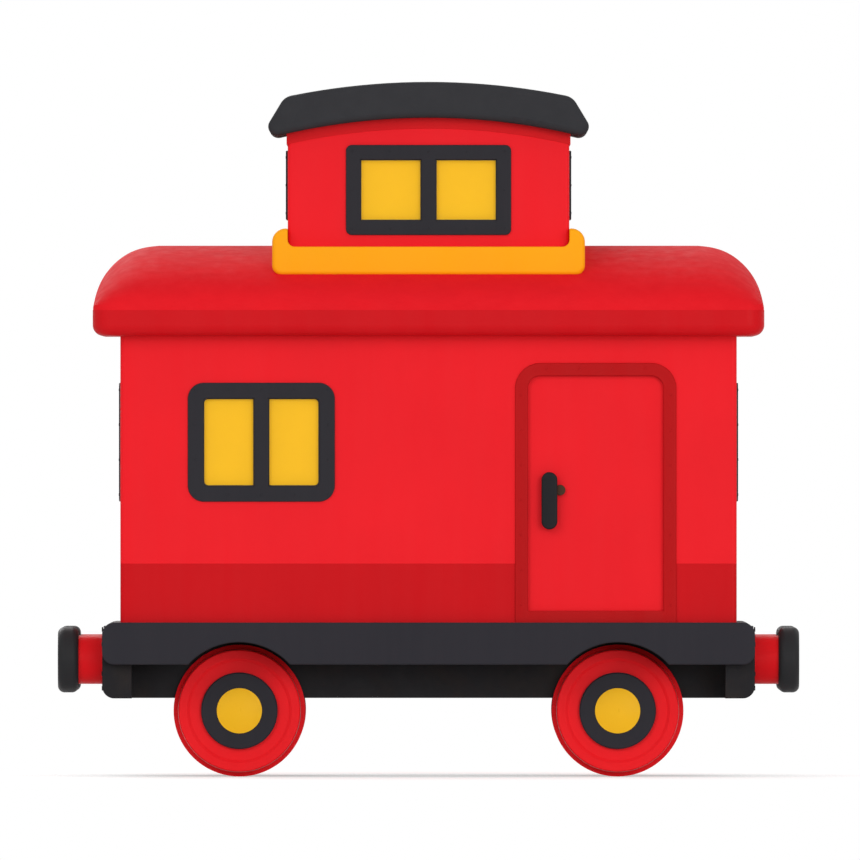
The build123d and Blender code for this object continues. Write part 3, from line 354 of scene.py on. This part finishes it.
def amber_glass(name, base):
    """Rolled amber glass, a little wavy."""
    material, tree, shader, place = new_finish(name)
    cloud = noise(tree, place, scale=3.0, detail=3.0)
    waves = noise(tree, stretched(tree, place, (1.0, 1.0, 0.4)), scale=22.0, detail=2.0)
    tinted = mixed(tree, spread(tree, cloud, low=0.0, high=1.0), shade(base, 0.97), base)
    tree.links.new(tinted, shader.inputs["Base Color"])
    tree.links.new(spread(tree, cloud, low=0.06, high=0.12), shader.inputs["Roughness"])
    shader.inputs["Transmission Weight"].default_value = 0.04
    shader.inputs["IOR"].default_value = 1.5
    shader.inputs["Specular IOR Level"].default_value = 0.10
    bump(tree, shader, waves, depth=0.0008)
    return material


def roof_cloth(name, base, granules=0.0004):
    """Canvas bedded in thick roof paint: slack between the boards, rough to the touch, dusty in places."""
    material, tree, shader, place = new_finish(name)
    slack = noise(tree, stretched(tree, place, (1.0, 3.0, 1.0)), scale=3.0, detail=3.0)
    cloud = noise(tree, place, scale=12.0, detail=5.0, roughness=0.6)
    grit = noise(tree, place, scale=260.0, detail=3.0, roughness=0.7)
    toned = mixed(tree, spread(tree, slack, low=0.0, high=1.0), shade(base, 0.93), base)
    mottled = mixed(tree, spread(tree, cloud, low=0.0, high=0.10), toned, shade(base, 0.75))
    dusty = mixed(tree, spread(tree, grit, low=0.0, high=0.008, start=0.5, end=0.8), mottled, DUST)
    tree.links.new(dusty, shader.inputs["Base Color"])
    tree.links.new(spread(tree, cloud, low=0.62, high=0.82), shader.inputs["Roughness"])
    shader.inputs["Specular IOR Level"].default_value = 0.08
    bump(tree, shader, maths(tree, "ADD", maths(tree, "MULTIPLY", slack, 6.0), grit), depth=granules)
    return material


def lining_paint(name, base):
    """Cream boards with painted shade down the grooves between them, where the faces turn away from the wall.
    """
    material = paint(name, base, smoothest=0.55, roughest=0.75)
    tree = material.node_tree
    normal = tree.nodes["Texture Coordinate"].outputs["Normal"]
    # Painted shade: the bevelled faces in the grooves, slanted between X and Y, are painted at a third of the
    # cream
    slanted = maths(tree, "MULTIPLY", apart(tree, normal, "X"), apart(tree, normal, "Y"))
    painted_over(material, maths(tree, "GREATER_THAN", slanted, 0.2), shade(base, 0.30))
    return material


def door_paint(name, base, hinge_colour):
    """The doors' red outside and cream inside, with the hinge leaves and knuckles left black."""
    material = paint(name, base, inside=CABIN)
    tree = material.node_tree
    place = tree.nodes["Texture Coordinate"].outputs["Object"]
    hinge = maths(tree, "LESS_THAN", apart(tree, place, "Y"), LEAF_INNER - HINGE_CLEAR)
    painted_over(material, hinge, hinge_colour)
    return material


def floor_wood(name, base):
    """Worn softwood boards that run across the car."""
    material, tree, shader, place = new_finish(name)
    grain = noise(tree, stretched(tree, place, (26.0, 1.6, 12.0)), scale=5.0, detail=6.0, roughness=0.62)
    fibre = noise(tree, stretched(tree, place, (240.0, 5.0, 60.0)), scale=3.0, detail=3.0)
    planks = noise(tree, stretched(tree, place, (7.0, 0.01, 0.01)), scale=1.0, detail=0.0)
    brown = mixed(tree, spread(tree, grain, low=0.0, high=1.0), shade(base, 0.62), base)
    varied = mixed(tree, spread(tree, planks, low=0.0, high=0.5), brown, shade(base, 0.45))
    tree.links.new(varied, shader.inputs["Base Color"])
    tree.links.new(spread(tree, fibre, low=0.58, high=0.78), shader.inputs["Roughness"])
    bump(tree, shader, fibre, depth=0.0006)
    return material


def black_rubber(name, base):
    """Dull rubber with a faint bloom."""
    material, tree, shader, place = new_finish(name)
    cloud = noise(tree, place, scale=30.0, detail=4.0)
    tree.links.new(mixed(tree, cloud, shade(base, 0.8), base), shader.inputs["Base Color"])
    tree.links.new(spread(tree, cloud, low=0.55, high=0.72), shader.inputs["Roughness"])
    bump(tree, shader, cloud, depth=0.0002)
    return material


def wheel_paint(name, base, steel):
    """Red wheels, rubbed to bright steel on the tread alone."""
    material = paint(name, base)
    tree = material.node_tree
    low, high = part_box("front_wheels")
    axle_x = (low.x + high.x) / 2
    axle_z = (low.z + high.z) / 2
    place = tree.nodes["Texture Coordinate"].outputs["Object"]
    across = maths(tree, "SUBTRACT", apart(tree, place, "X"), axle_x)
    above = maths(tree, "SUBTRACT", along(tree, place, "Z"), axle_z)
    squares = maths(tree, "ADD", maths(tree, "POWER", across, 2.0), maths(tree, "POWER", above, 2.0))
    far_out = maths(tree, "GREATER_THAN", maths(tree, "SQRT", squares), TREAD_INNER)
    outward = tree.nodes.new("ShaderNodeNewGeometry").outputs["Normal"]
    level = maths(tree, "LESS_THAN", apart(tree, outward, "Y"), TREAD_SLOPE)
    tread = maths(tree, "MULTIPLY", far_out, level)
    painted_over(material, tread, steel)
    tree.links.new(tread, tree.nodes["Principled BSDF"].inputs["Metallic"])
    return material


FINISHES = {
    "body_red": paint("body_red", BODY_RED, inside=CABIN),
    "band_red": paint("band_red", colour(199, 12, 21), inside=CABIN),
    "roof_red": roof_cloth("roof_red", colour(224, 23, 33), granules=0.0002),
    "eave_red": paint("eave_red", colour(202, 15, 24)),
    "door_frame_red": paint("door_frame_red", colour(179, 13, 17)),
    "frieze_red": paint("frieze_red", colour(211, 19, 26)),
    # Painted light: the buffers' red is lighter than their own paint, to make up for the shade that the buffer
    # heads and the beam cast on the stems
    "buffer_red": paint("buffer_red", colour(226, 20, 28)),
    "collar_orange": paint("collar_orange", colour(251, 166, 15)),
    "hub_yellow": paint("hub_yellow", AMBER),
    "ceiling_paint": paint("ceiling_paint", CREAM, smoothest=0.6, roughest=0.8),
    "sill_charcoal": paint("sill_charcoal", colour(43, 42, 48), smoothest=0.42, roughest=0.58),
    "window_charcoal": paint("window_charcoal", colour(42, 41, 46)),
    "cupola_roof_charcoal": roof_cloth("cupola_roof_charcoal", colour(51, 51, 54)),
    "hub_charcoal": paint("hub_charcoal", colour(44, 43, 49)),
    "buffer_black": paint("buffer_black", colour(40, 40, 42), smoothest=0.38, roughest=0.55),
    "handle_black": paint("handle_black", colour(31, 31, 34), smoothest=0.30, roughest=0.42),
    "latch_brown": paint("latch_brown", colour(74, 49, 35)),
    "hinge_steel": paint("hinge_steel", HINGE_BLACK),
    # The underframe's own black paint, made a shade darker as painted shade, so that the lit ends of the buffer
    # beams look as dark as the frame in the sill's shadow
    "frame_black": oiled_steel("frame_black", colour(24, 22, 25)),
    "spring_steel": oiled_steel("spring_steel", colour(36, 35, 38)),
    "axle_steel": bare_steel("axle_steel", colour(92, 90, 90)),
    # Painted light: the wheels' red is a little lighter than their own paint, to make up for the shade that the
    # sill casts over them
    "wheel_red": wheel_paint("wheel_red", colour(244, 28, 36), TREAD_STEEL),
    "amber_glass": amber_glass("amber_glass", AMBER),
    "floor_boards": floor_wood("floor_boards", colour(138, 102, 66)),
}
LINING_CREAM = lining_paint("lining_cream", CREAM)
RUBBER = black_rubber("glazing_rubber", colour(34, 33, 34))
CUPOLA_RED = paint("cupola_red", BODY_RED, inside=LOOKOUT)
DOOR_RED = door_paint("door_red", BODY_RED, HINGE_BLACK)

for part in frame["record"]["subparts"]:
    dressed = frame["nodes"][part["node"]]
    dressed.data.materials.clear()
    dressed.data.materials.append(FINISHES[part["material_slot"]])
for walls in ("cupola_side_walls", "cupola_end_walls"):
    frame["nodes"][walls].data.materials[0] = CUPOLA_RED
for leaf in ("door_leaf_left", "door_leaf_right"):
    frame["nodes"][leaf].data.materials[0] = DOOR_RED


# Modelling

def take(*pieces):
    """Selects these pieces alone and makes the first one active."""
    bpy.ops.object.select_all(action="DESELECT")
    for piece in pieces:
        piece.select_set(True)
    bpy.context.view_layer.objects.active = pieces[0]


def settle(piece, name, body, slot, finish=None, smooth=SMOOTH):
    """Leaves a finished piece with its place in its mesh, its name, its finish and its body.

    Without a finish of its own, it takes that of its slot.
    """
    take(piece)
    bpy.ops.object.transform_apply(location=True, rotation=True, scale=True)
    piece.name = name
    piece.data.name = name
    piece.data.materials.clear()
    piece.data.materials.append(finish or FINISHES[slot])
    bpy.ops.object.shade_smooth_by_angle(angle=math.radians(smooth))
    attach(piece, body)


def copied(piece, matrix):
    """Another piece with its own mesh, moved by a matrix."""
    twin = piece.copy()
    twin.data = piece.data.copy()
    twin.data.transform(matrix)
    bpy.context.scene.collection.objects.link(twin)
    return twin


def joined(pieces):
    """All the pieces as one, which is the first of them."""
    take(*pieces)
    bpy.ops.object.join()
    return pieces[0]


def block(size, place):
    """A plain block at its size and place, to be shaped further."""
    bpy.ops.mesh.primitive_cube_add(size=1.0, location=place)
    made = bpy.context.object
    made.scale = size
    bpy.ops.object.transform_apply(location=True, rotation=True, scale=True)
    return made


def edit(piece, mode="FACE"):
    """Opens a piece's mesh for editing with all of it selected."""
    take(piece)
    bpy.ops.object.mode_set(mode="EDIT")
    bpy.ops.mesh.select_mode(type=mode)
    bpy.ops.mesh.select_all(action="SELECT")


def pick(piece, kind, wanted):
    """Selects only those verts, edges or faces of an open mesh that a test accepts."""
    bpy.ops.mesh.select_all(action="DESELECT")
    mesh = bmesh.from_edit_mesh(piece.data)
    for item in getattr(mesh, kind):
        item.select_set(wanted(item))
    mesh.select_flush_mode()
    bmesh.update_edit_mesh(piece.data)


def looks_up(face):
    """Whether a face is a top one."""
    return face.normal.z > 0.9


def evenly(first, last, count):
    """Values from first to last, both included, an equal step apart."""
    return [first + (last - first) * n / (count - 1) for n in range(count)]


def turned(angle):
    """A turn about the upright axis."""
    return Matrix.Rotation(angle, 4, "Z")


def moved(x, y, z):
    """A move from the origin."""
    return Matrix.Translation((x, y, z))


# Floor and lining

def floorboards():
    """Boards laid across the car in the deck's place, with a thin gap between them."""
    low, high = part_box("floor_deck")
    pitch = (high.x - low.x + FLOOR_GAP) / FLOORBOARDS
    width = pitch - FLOOR_GAP
    board = block((width, high.y - low.y, high.z - low.z), (low.x + width / 2, 0.0, (low.z + high.z) / 2))
    edit(board, "EDGE")
    bpy.ops.mesh.bevel(offset=FLOOR_BEVEL, segments=2)
    bpy.ops.object.mode_set(mode="OBJECT")
    deck = joined([board] + [copied(board, moved(pitch * n, 0.0, 0.0)) for n in range(1, FLOORBOARDS)])
    settle(deck, "floorboards", "carbody", "floor_boards", smooth=BOARD_SMOOTH)
    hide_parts("floor_deck")


def lining_board(width):
    """One upright board a metre tall, its back at y = 0, facing -Y and bevelled along its two front edges."""
    def front_and_upright(edge):
        first, second = edge.verts
        return max(first.co.y, second.co.y) < -LINING / 2 and abs(first.co.z - second.co.z) > 0.5

    board = block((width, LINING, 1.0), (0.0, -LINING / 2, 0.0))
    edit(board, "EDGE")
    pick(board, "edges", front_and_upright)
    bpy.ops.mesh.bevel(offset=BOARD_BEVEL, segments=1)
    bpy.ops.object.mode_set(mode="OBJECT")
    return board


def boarded(start, end, bottom, top, holes, stand):
    """Boards side by side from start to end, each split where it meets a hole, moved by a matrix."""
    count = round((end - start) / BOARD_PITCH)
    pitch = (end - start) / count
    model = lining_board(pitch - BOARD_GAP)
    boards = []
    for n in range(count):
        left = start + n * pitch
        spans = [(bottom, top)]
        for hole_start, hole_end, hole_bottom, hole_top in holes:
            if left + pitch > hole_start and left < hole_end:
                spans = [(bottom, hole_bottom), (hole_top, top)]
        for low, high in spans:
            if high - low > BOARD_GAP:
                tall = Matrix.Diagonal((1.0, 1.0, high - low, 1.0))
                boards.append(copied(model, stand @ moved(left + pitch / 2, 0.0, (low + high) / 2) @ tall))
    bpy.data.objects.remove(model)
    return boards


def window_hole(window, x, z, height, mirror=1):
    """A window's place on a wall as start, end, bottom and top, with x turned round for the far side."""
    half = window["width"] / 2
    return (x * mirror - half, x * mirror + half, z - height / 2, z + height / 2)


def room_lining(name, half_length, half_width, bottom, top, side_holes, end_holes):
    """Boards on the four inner walls of a room; the holes of a side are asked for with the way x runs."""
    boards = []
    reach = half_length - LINING
    for angle, mirror in ((0.0, 1), (math.pi, -1)):
        stand = turned(angle) @ moved(0.0, half_width, 0.0)
        boards += boarded(-reach, reach, bottom, top, side_holes(mirror), stand)
    for angle in (-math.pi / 2, math.pi / 2):
        stand = turned(angle) @ moved(0.0, half_length, 0.0)
        boards += boarded(-half_width, half_width, bottom, top, end_holes, stand)
    settle(joined(boards), name, "carbody", "ceiling_paint", LINING_CREAM, smooth=BOARD_SMOOTH)


def cabin_lining():
    """Matchboards inside the cabin, from its floor to its ceiling."""
    floor_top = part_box("floor_deck")[1].z
    ceiling_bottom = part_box("ceiling")[0].z
    end_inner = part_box("end_wall_front")[0].x
    door_low, door_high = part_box("door_frame_left")

    def side_holes(mirror):
        start, end = sorted((door_low.x * mirror, door_high.x * mirror))
        door = (start - DOOR_CASING, end + DOOR_CASING, floor_top, door_high.z)
        return [window_hole(BODY_WINDOW, BODY_WINDOW_X, BODY_WINDOW_Z, BODY_WINDOW["height"], mirror), door]

    end_holes = [window_hole(BODY_WINDOW, 0.0, BODY_WINDOW_Z, BODY_WINDOW["height"])]
    room_lining("cabin_lining", end_inner, WALL_INNER, floor_top, ceiling_bottom, side_holes, end_holes)


def cupola_lining():
    """Matchboards inside the cupola, from the ceiling to its roof."""
    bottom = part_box("ceiling")[1].z
    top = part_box("cupola_roof")[0].z
    half_length = cupola_high.x - CUPOLA_WALL
    half_width = cupola_high.y - CUPOLA_WALL
    side_holes = [window_hole(CUPOLA_WINDOW, 0.0, CUPOLA_WINDOW_Z, CUPOLA_WINDOW["height"])]
    end_holes = [window_hole(CUPOLA_WINDOW, 0.0, CUPOLA_END_WINDOW_Z, CUPOLA_END_HEIGHT)]
    room_lining("cupola_lining", half_length, half_width, bottom, top, lambda mirror: side_holes, end_holes)


def door_linings():
    """Boards on each door's inner face, clear of the leaf's edges and of the hinges."""
    low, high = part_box("door_leaf_left")
    for side_name, angle, mirror in (("left", 0.0, 1), ("right", math.pi, -1)):
        stand = turned(angle) @ moved(0.0, LEAF_INNER, 0.0)
        start, end = sorted(((low.x + DOOR_STILE) * mirror, (HINGE_X - HINGE_REACH) * mirror))
        boards = boarded(start, end, low.z + DOOR_STILE, high.z - DOOR_HEAD, [], stand)
        settle(joined(boards), f"door_boards_{side_name}", f"door_{side_name}", "ceiling_paint",
               LINING_CREAM, smooth=BOARD_SMOOTH)


# Glazing

def window_places(half_width, half_length, x, z_side, z_end, window, end_height):
    """Each window as the matrix that stands it in its wall, and its height."""
    places = []
    for side, angle in ((-1, 0.0), (1, math.pi)):
        places.append((moved(x, side * (half_width - PANE_DEPTH), z_side) @ turned(angle), window["height"]))
    for end, angle in ((1, math.pi / 2), (-1, -math.pi / 2)):
        places.append((moved(end * (half_length - PANE_DEPTH), 0.0, z_end) @ turned(angle), end_height))
    return places


def glazing_bead(window, height):
    """One rubber bead round the right-hand pane, in the XZ plane, its back against the glass at y = 0.

    The two corners at the middle bar are square, and the outer two follow the frame's rounding.
    """
    width = (window["width"] - 2 * window["bar"] - window["mullion"]) / 2
    tall = height - 2 * window["bar"]
    bpy.ops.mesh.primitive_plane_add(size=1.0, rotation=(math.pi / 2, 0.0, 0.0))
    bead = bpy.context.object
    bead.scale = (width, tall, 1.0)
    bpy.ops.object.transform_apply(location=True, rotation=True, scale=True)
    edit(bead, "VERT")
    pick(bead, "verts", lambda corner: corner.co.x > 0.0)
    bpy.ops.mesh.bevel(offset=window["corner"], segments=6, affect="VERTICES")
    bpy.ops.mesh.select_all(action="SELECT")
    bpy.ops.mesh.select_mode(type="FACE")
    bpy.ops.mesh.inset(thickness=BEAD_WIDTH)
    bpy.ops.mesh.delete(type="FACE")
    bpy.ops.mesh.select_all(action="SELECT")
    bpy.ops.mesh.extrude_region_move(TRANSFORM_OT_translate={"value": (0.0, -BEAD_DEPTH, 0.0)})
    bpy.ops.mesh.select_all(action="SELECT")
    bpy.ops.mesh.normals_make_consistent(inside=False)
    bpy.ops.object.mode_set(mode="OBJECT")
    bevel = bead.modifiers.new("Bevel", "BEVEL")
    bevel.width = BEAD_BEVEL
    bevel.segments = 2
    bpy.ops.object.modifier_apply(modifier="Bevel")
    return bead


def glazing(name, window, places):
    """Two beads in each window, the left one turned over so that its square corners meet the middle bar."""
    beads = []
    step = (window["width"] - 2 * window["bar"] + window["mullion"]) / 4
    for stand, height in places:
        bead = glazing_bead(window, height)
        beads.append(copied(bead, stand @ moved(step, 0.0, 0.0)))
        beads.append(copied(bead, stand @ moved(-step, 0.0, 0.0) @ Matrix.Rotation(math.pi, 4, "Y")))
        bpy.data.objects.remove(bead)
    settle(joined(beads), name, "carbody", "window_charcoal", RUBBER)


# Screws and bolts

def bolt(radius, height):
    """One hexagon bolt head on a round washer, standing up along Z from the origin."""
    washer_radius = radius * 1.25
    washer_height = height * 0.2
    rounding = radius * 0.14
    bpy.ops.mesh.primitive_cylinder_add(vertices=18, radius=washer_radius, depth=washer_height,
                                        location=(0.0, 0.0, washer_height / 2))
    washer = bpy.context.object
    bpy.ops.mesh.primitive_cylinder_add(vertices=6, radius=radius, depth=height,
                                        location=(0.0, 0.0, height / 2 + washer_height / 2))
    head = bpy.context.object
    edit(head)
    pick(head, "faces", looks_up)
    bpy.ops.mesh.bevel(offset=rounding, segments=2)
    bpy.ops.object.mode_set(mode="OBJECT")
    return joined([head, washer])


def screw(radius, height):
    """One low domed screw with a slot, upright along Z and half sunk at the origin."""
    rounding = height * 0.45
    slot_width = radius * 0.24
    slot_depth = height * 0.25
    bpy.ops.mesh.primitive_cylinder_add(vertices=20, radius=radius, depth=height, location=(0.0, 0.0, 0.0))
    head = bpy.context.object
    edit(head)
    pick(head, "faces", looks_up)
    bpy.ops.mesh.bevel(offset=rounding, segments=3)
    bpy.ops.object.mode_set(mode="OBJECT")
    blade = block((radius * 3, slot_width, slot_depth * 2), (0.0, 0.0, height / 2))
    slot = head.modifiers.new("Slot", "BOOLEAN")
    slot.object = blade
    slot.operation = "DIFFERENCE"
    take(head)
    bpy.ops.object.modifier_apply(modifier="Slot")
    bpy.data.objects.remove(blade)
    return head


def facing(place, normal, turn=0.0):
    """The move from the origin, standing up along Z, to a place on a face with the given normal."""
    lie = Vector(normal).to_track_quat("Z", "Y").to_matrix().to_4x4()
    return Matrix.Translation(place) @ lie @ turned(turn)


def fastened(name, model, spots, body, slot):
    """Copies of one model at each spot, joined into one piece."""
    copies = [copied(model, spot) for spot in spots]
    bpy.data.objects.remove(model)
    settle(joined(copies), name, body, slot)


def along_frame(window, height):
    """Points round a window frame's bars, in its own plane, corners included once."""
    inset = window["bar"] * SCREW_ACROSS_BAR
    half_wide = window["width"] / 2 - inset
    half_high = height / 2 - inset
    points = []
    for across in evenly(-half_wide, half_wide, window["screws_wide"]):
        points += [(across, -half_high), (across, half_high)]
    for up in evenly(-half_high, half_high, window["screws_high"])[1:-1]:
        points += [(-half_wide, up), (half_wide, up)]
    return points


def window_screws(name, window, places):
    """Screws round each window frame, their slots turned this way and that."""
    spots = []
    for stand, height in places:
        outward = stand.to_3x3() @ Vector((0.0, -1.0, 0.0))
        for n, (across, up) in enumerate(along_frame(window, height)):
            front = stand @ Vector((across, -PANE_DEPTH - FRAME_PROUD, up))
            spots.append(facing(front, outward, n * WINDOW_SLOT_TURN))
    fastened(name, screw(*FRAME_SCREW), spots, "carbody", "window_charcoal")


def door_screws():
    """Screws up both sides and across the top of each door frame."""
    low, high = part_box("door_frame_left")
    inset = DOOR_FRAME_BAR * SCREW_ACROSS_BAR
    left = low.x + inset
    right = high.x - inset
    top = high.z - inset
    margin = (right - left) * DOOR_TOP_MARGIN
    rows = evenly(low.z + DOOR_SIDE_FOOT, top - DOOR_SIDE_HEAD, DOOR_SIDE_SCREWS)
    points = [(x, z) for x in (left, right) for z in rows]
    points += [(x, top) for x in evenly(left + margin, right - margin, DOOR_TOP_SCREWS)]
    spots = []
    for side in (-1, 1):
        for n, (x, z) in enumerate(points):
            spots.append(facing((x, side * high.y, z), (0.0, side, 0.0), n * DOOR_SLOT_TURN))
    fastened("door_frame_screws", screw(*FRAME_SCREW), spots, "carbody", "door_frame_red")


def end_bolts():
    """Bolts at the corners of each draw plate and in a ring round each buffer's stem."""
    beam_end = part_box("buffer_beam_front")[1].x
    plate_low, plate_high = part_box("draw_hook_front")
    stem_low, stem_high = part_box("buffer_stems_front")
    stem_radius = (stem_high.z - stem_low.z) / 2
    stem_y = stem_high.y - stem_radius
    level = (stem_high.z + stem_low.z) / 2
    corner = (plate_high.y - plate_low.y) / 2 - DRAW_BOLT_INSET
    ring = stem_radius + BUFFER_BOLT_CLEAR
    spots = []
    for end in (-1, 1):
        normal = (end, 0.0, 0.0)
        for y in (-corner, corner):
            for z in (-corner, corner):
                spots.append(facing((end * (beam_end + DRAW_PLATE), y, level + z), normal))
        for side in (-1, 1):
            for n in range(BUFFER_BOLTS):
                angle = 2 * math.pi * (n + 0.5) / BUFFER_BOLTS
                y = side * stem_y + ring * math.cos(angle)
                spots.append(facing((end * beam_end, y, level + ring * math.sin(angle)), normal))
    fastened("end_bolts", bolt(*END_BOLT), spots, "carbody", "frame_black")


def horn_guide_bolts():
    """Bolts down both cheeks of each horn guide."""
    low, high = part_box("horn_guides")
    wheel_low, wheel_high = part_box("front_wheels")
    axle = (wheel_low.x + wheel_high.x) / 2
    cheek = high.x - axle - HORN_BOLT_INSET
    spots = []
    for end in (-1, 1):
        for side in (-1, 1):
            for across in (-cheek, cheek):
                for z in evenly(low.z + HORN_BOLT_END, high.z - HORN_BOLT_END, HORN_BOLTS):
                    spots.append(facing((end * axle + across, side * high.y, z), (0.0, side, 0.0)))
    fastened("horn_guide_bolts", bolt(*HORN_BOLT), spots, "carbody", "frame_black")


def hinge_screws():
    """Two screws in each leaf of each door hinge, of which the lower is the wall's and the upper the door's."""
    for side, side_name in ((-1, "right"), (1, "left")):
        low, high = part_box(f"door_hinges_{side_name}")
        inward = (0.0, -side, 0.0)
        wall_spots = []
        leaf_spots = []
        feet = evenly(low.z, high.z - HINGE_HEIGHT, HINGES_PER_DOOR)
        for n, foot in enumerate(feet):
            for back in WALL_LEAF_SCREWS:
                x = high.x - back
                place = (x, side * (WALL_INNER - HINGE_PLATE), foot + HINGE_HEIGHT / 4)
                wall_spots.append(facing(place, inward, n + x))
            for back in DOOR_LEAF_SCREWS:
                x = HINGE_X - back
                place = (x, side * (LEAF_INNER - HINGE_PLATE), foot + HINGE_HEIGHT * 3 / 4)
                leaf_spots.append(facing(place, inward, n - x))
        fastened(f"hinge_wall_screws_{side_name}", screw(*HINGE_SCREW), wall_spots, "carbody", "hinge_steel")
        fastened(f"hinge_leaf_screws_{side_name}", screw(*HINGE_SCREW), leaf_spots,
                 f"door_{side_name}", "hinge_steel")


body_places = window_places(body_high.y, body_high.x, BODY_WINDOW_X, BODY_WINDOW_Z, BODY_WINDOW_Z,
                            BODY_WINDOW, BODY_WINDOW["height"])
cupola_places = window_places(cupola_high.y, cupola_high.x, 0.0, CUPOLA_WINDOW_Z, CUPOLA_END_WINDOW_Z,
                              CUPOLA_WINDOW, CUPOLA_END_HEIGHT)
floorboards()
cabin_lining()
cupola_lining()
door_linings()
glazing("body_glazing_beads", BODY_WINDOW, body_places)
glazing("cupola_glazing_beads", CUPOLA_WINDOW, cupola_places)
window_screws("body_window_screws", BODY_WINDOW, body_places)
window_screws("cupola_window_screws", CUPOLA_WINDOW, cupola_places)
door_screws()
end_bolts()
horn_guide_bolts()
hinge_screws()


# Studio

def seen_plainly(tree):
    """One for the rays that look at the surroundings themselves, and none for those that light the car."""
    path = tree.nodes.new("ShaderNodeLightPath")
    seen = maths(tree, "MAXIMUM", path.outputs["Is Camera Ray"], path.outputs["Is Glossy Ray"])
    return maths(tree, "MAXIMUM", seen, path.outputs["Is Transmission Ray"])


def either(tree, share, first, second):
    """Two shaders mixed, from all of the first to all of the second."""
    made = node(tree, "ShaderNodeMixShader", Fac=share)
    tree.links.new(first.outputs[0], made.inputs[1])
    tree.links.new(second.outputs[0], made.inputs[2])
    return made


def studio_floor():
    """A pale floor that keeps the car's shadow, fades to white away from it and is clear from below."""
    bpy.ops.mesh.primitive_plane_add(size=FLOOR_SIZE, location=(0.0, 0.0, 0.0))
    floor = bpy.context.object
    floor.name = "studio_floor"
    material = bpy.data.materials.new("studio_floor")
    material.use_nodes = True
    tree = material.node_tree
    tree.nodes.clear()
    away = node(tree, "ShaderNodeVectorMath", Vector=tree.nodes.new("ShaderNodeTexCoord").outputs["Object"])
    away.operation = "LENGTH"
    fade = spread(tree, away.outputs["Value"], low=0.0, high=1.0, start=FADE_START, end=FADE_END)
    seen = seen_plainly(tree)
    matt = node(tree, "ShaderNodeBsdfDiffuse", Color=FLOOR_TONE)
    lift = node(tree, "ShaderNodeEmission", Color=WHITE, Strength=maths(tree, "MULTIPLY", seen, FLOOR_LIFT))
    lifted = tree.nodes.new("ShaderNodeAddShader")
    tree.links.new(matt.outputs["BSDF"], lifted.inputs[0])
    tree.links.new(lift.outputs["Emission"], lifted.inputs[1])
    white = node(tree, "ShaderNodeEmission", Color=WHITE, Strength=1.0)
    shown = either(tree, maths(tree, "MULTIPLY", fade, seen), lifted, white)
    from_below = tree.nodes.new("ShaderNodeNewGeometry").outputs["Backfacing"]
    clear = tree.nodes.new("ShaderNodeBsdfTransparent")
    out = tree.nodes.new("ShaderNodeOutputMaterial")
    tree.links.new(either(tree, from_below, shown, clear).outputs["Shader"], out.inputs["Surface"])
    floor.data.materials.append(material)


def studio_lamp(name, strength, width, towards):
    """A far lamp of so many degrees in width, which shines from one direction."""
    lamp = bpy.data.lights.new(name, "SUN")
    lamp.energy = strength
    lamp.angle = math.radians(width)
    stand = bpy.data.objects.new(name, lamp)
    bpy.context.scene.collection.objects.link(stand)
    stand.rotation_euler = Vector(towards).to_track_quat("Z", "Y").to_euler()


def studio_light():
    """White surroundings, a broad lamp at the camera's left, a low one under the eaves and one behind."""
    world = bpy.data.worlds.new("studio")
    bpy.context.scene.world = world
    world.use_nodes = True
    tree = world.node_tree
    tree.nodes.clear()
    fill = node(tree, "ShaderNodeBackground", Color=WHITE, Strength=FILL_LIGHT)
    plain = node(tree, "ShaderNodeBackground", Color=WHITE, Strength=1.0)
    out = tree.nodes.new("ShaderNodeOutputWorld")
    tree.links.new(either(tree, seen_plainly(tree), fill, plain).outputs["Shader"], out.inputs["Surface"])
    for name, (strength, width, towards) in LAMPS.items():
        studio_lamp(name, strength, width, towards)


def studio_camera():
    """A long lens square to the car's side, as the picture shows it."""
    lens = bpy.data.cameras.new("camera")
    lens.sensor_width = SENSOR_WIDTH
    lens.lens = SENSOR_WIDTH * CAMERA_DISTANCE / (PICTURE_PIXELS * METRES_PER_PIXEL)
    lens.clip_end = CAMERA_REACH
    camera = bpy.data.objects.new("camera", lens)
    bpy.context.scene.collection.objects.link(camera)
    camera.location = (PICTURE_CENTRE_X, body_low.y - CAMERA_DISTANCE, PICTURE_CENTRE_Z)
    camera.rotation_euler = (math.pi / 2, 0.0, 0.0)
    bpy.context.scene.camera = camera


studio_floor()
studio_light()
studio_camera()
bpy.context.scene.view_settings.view_transform = "Standard"
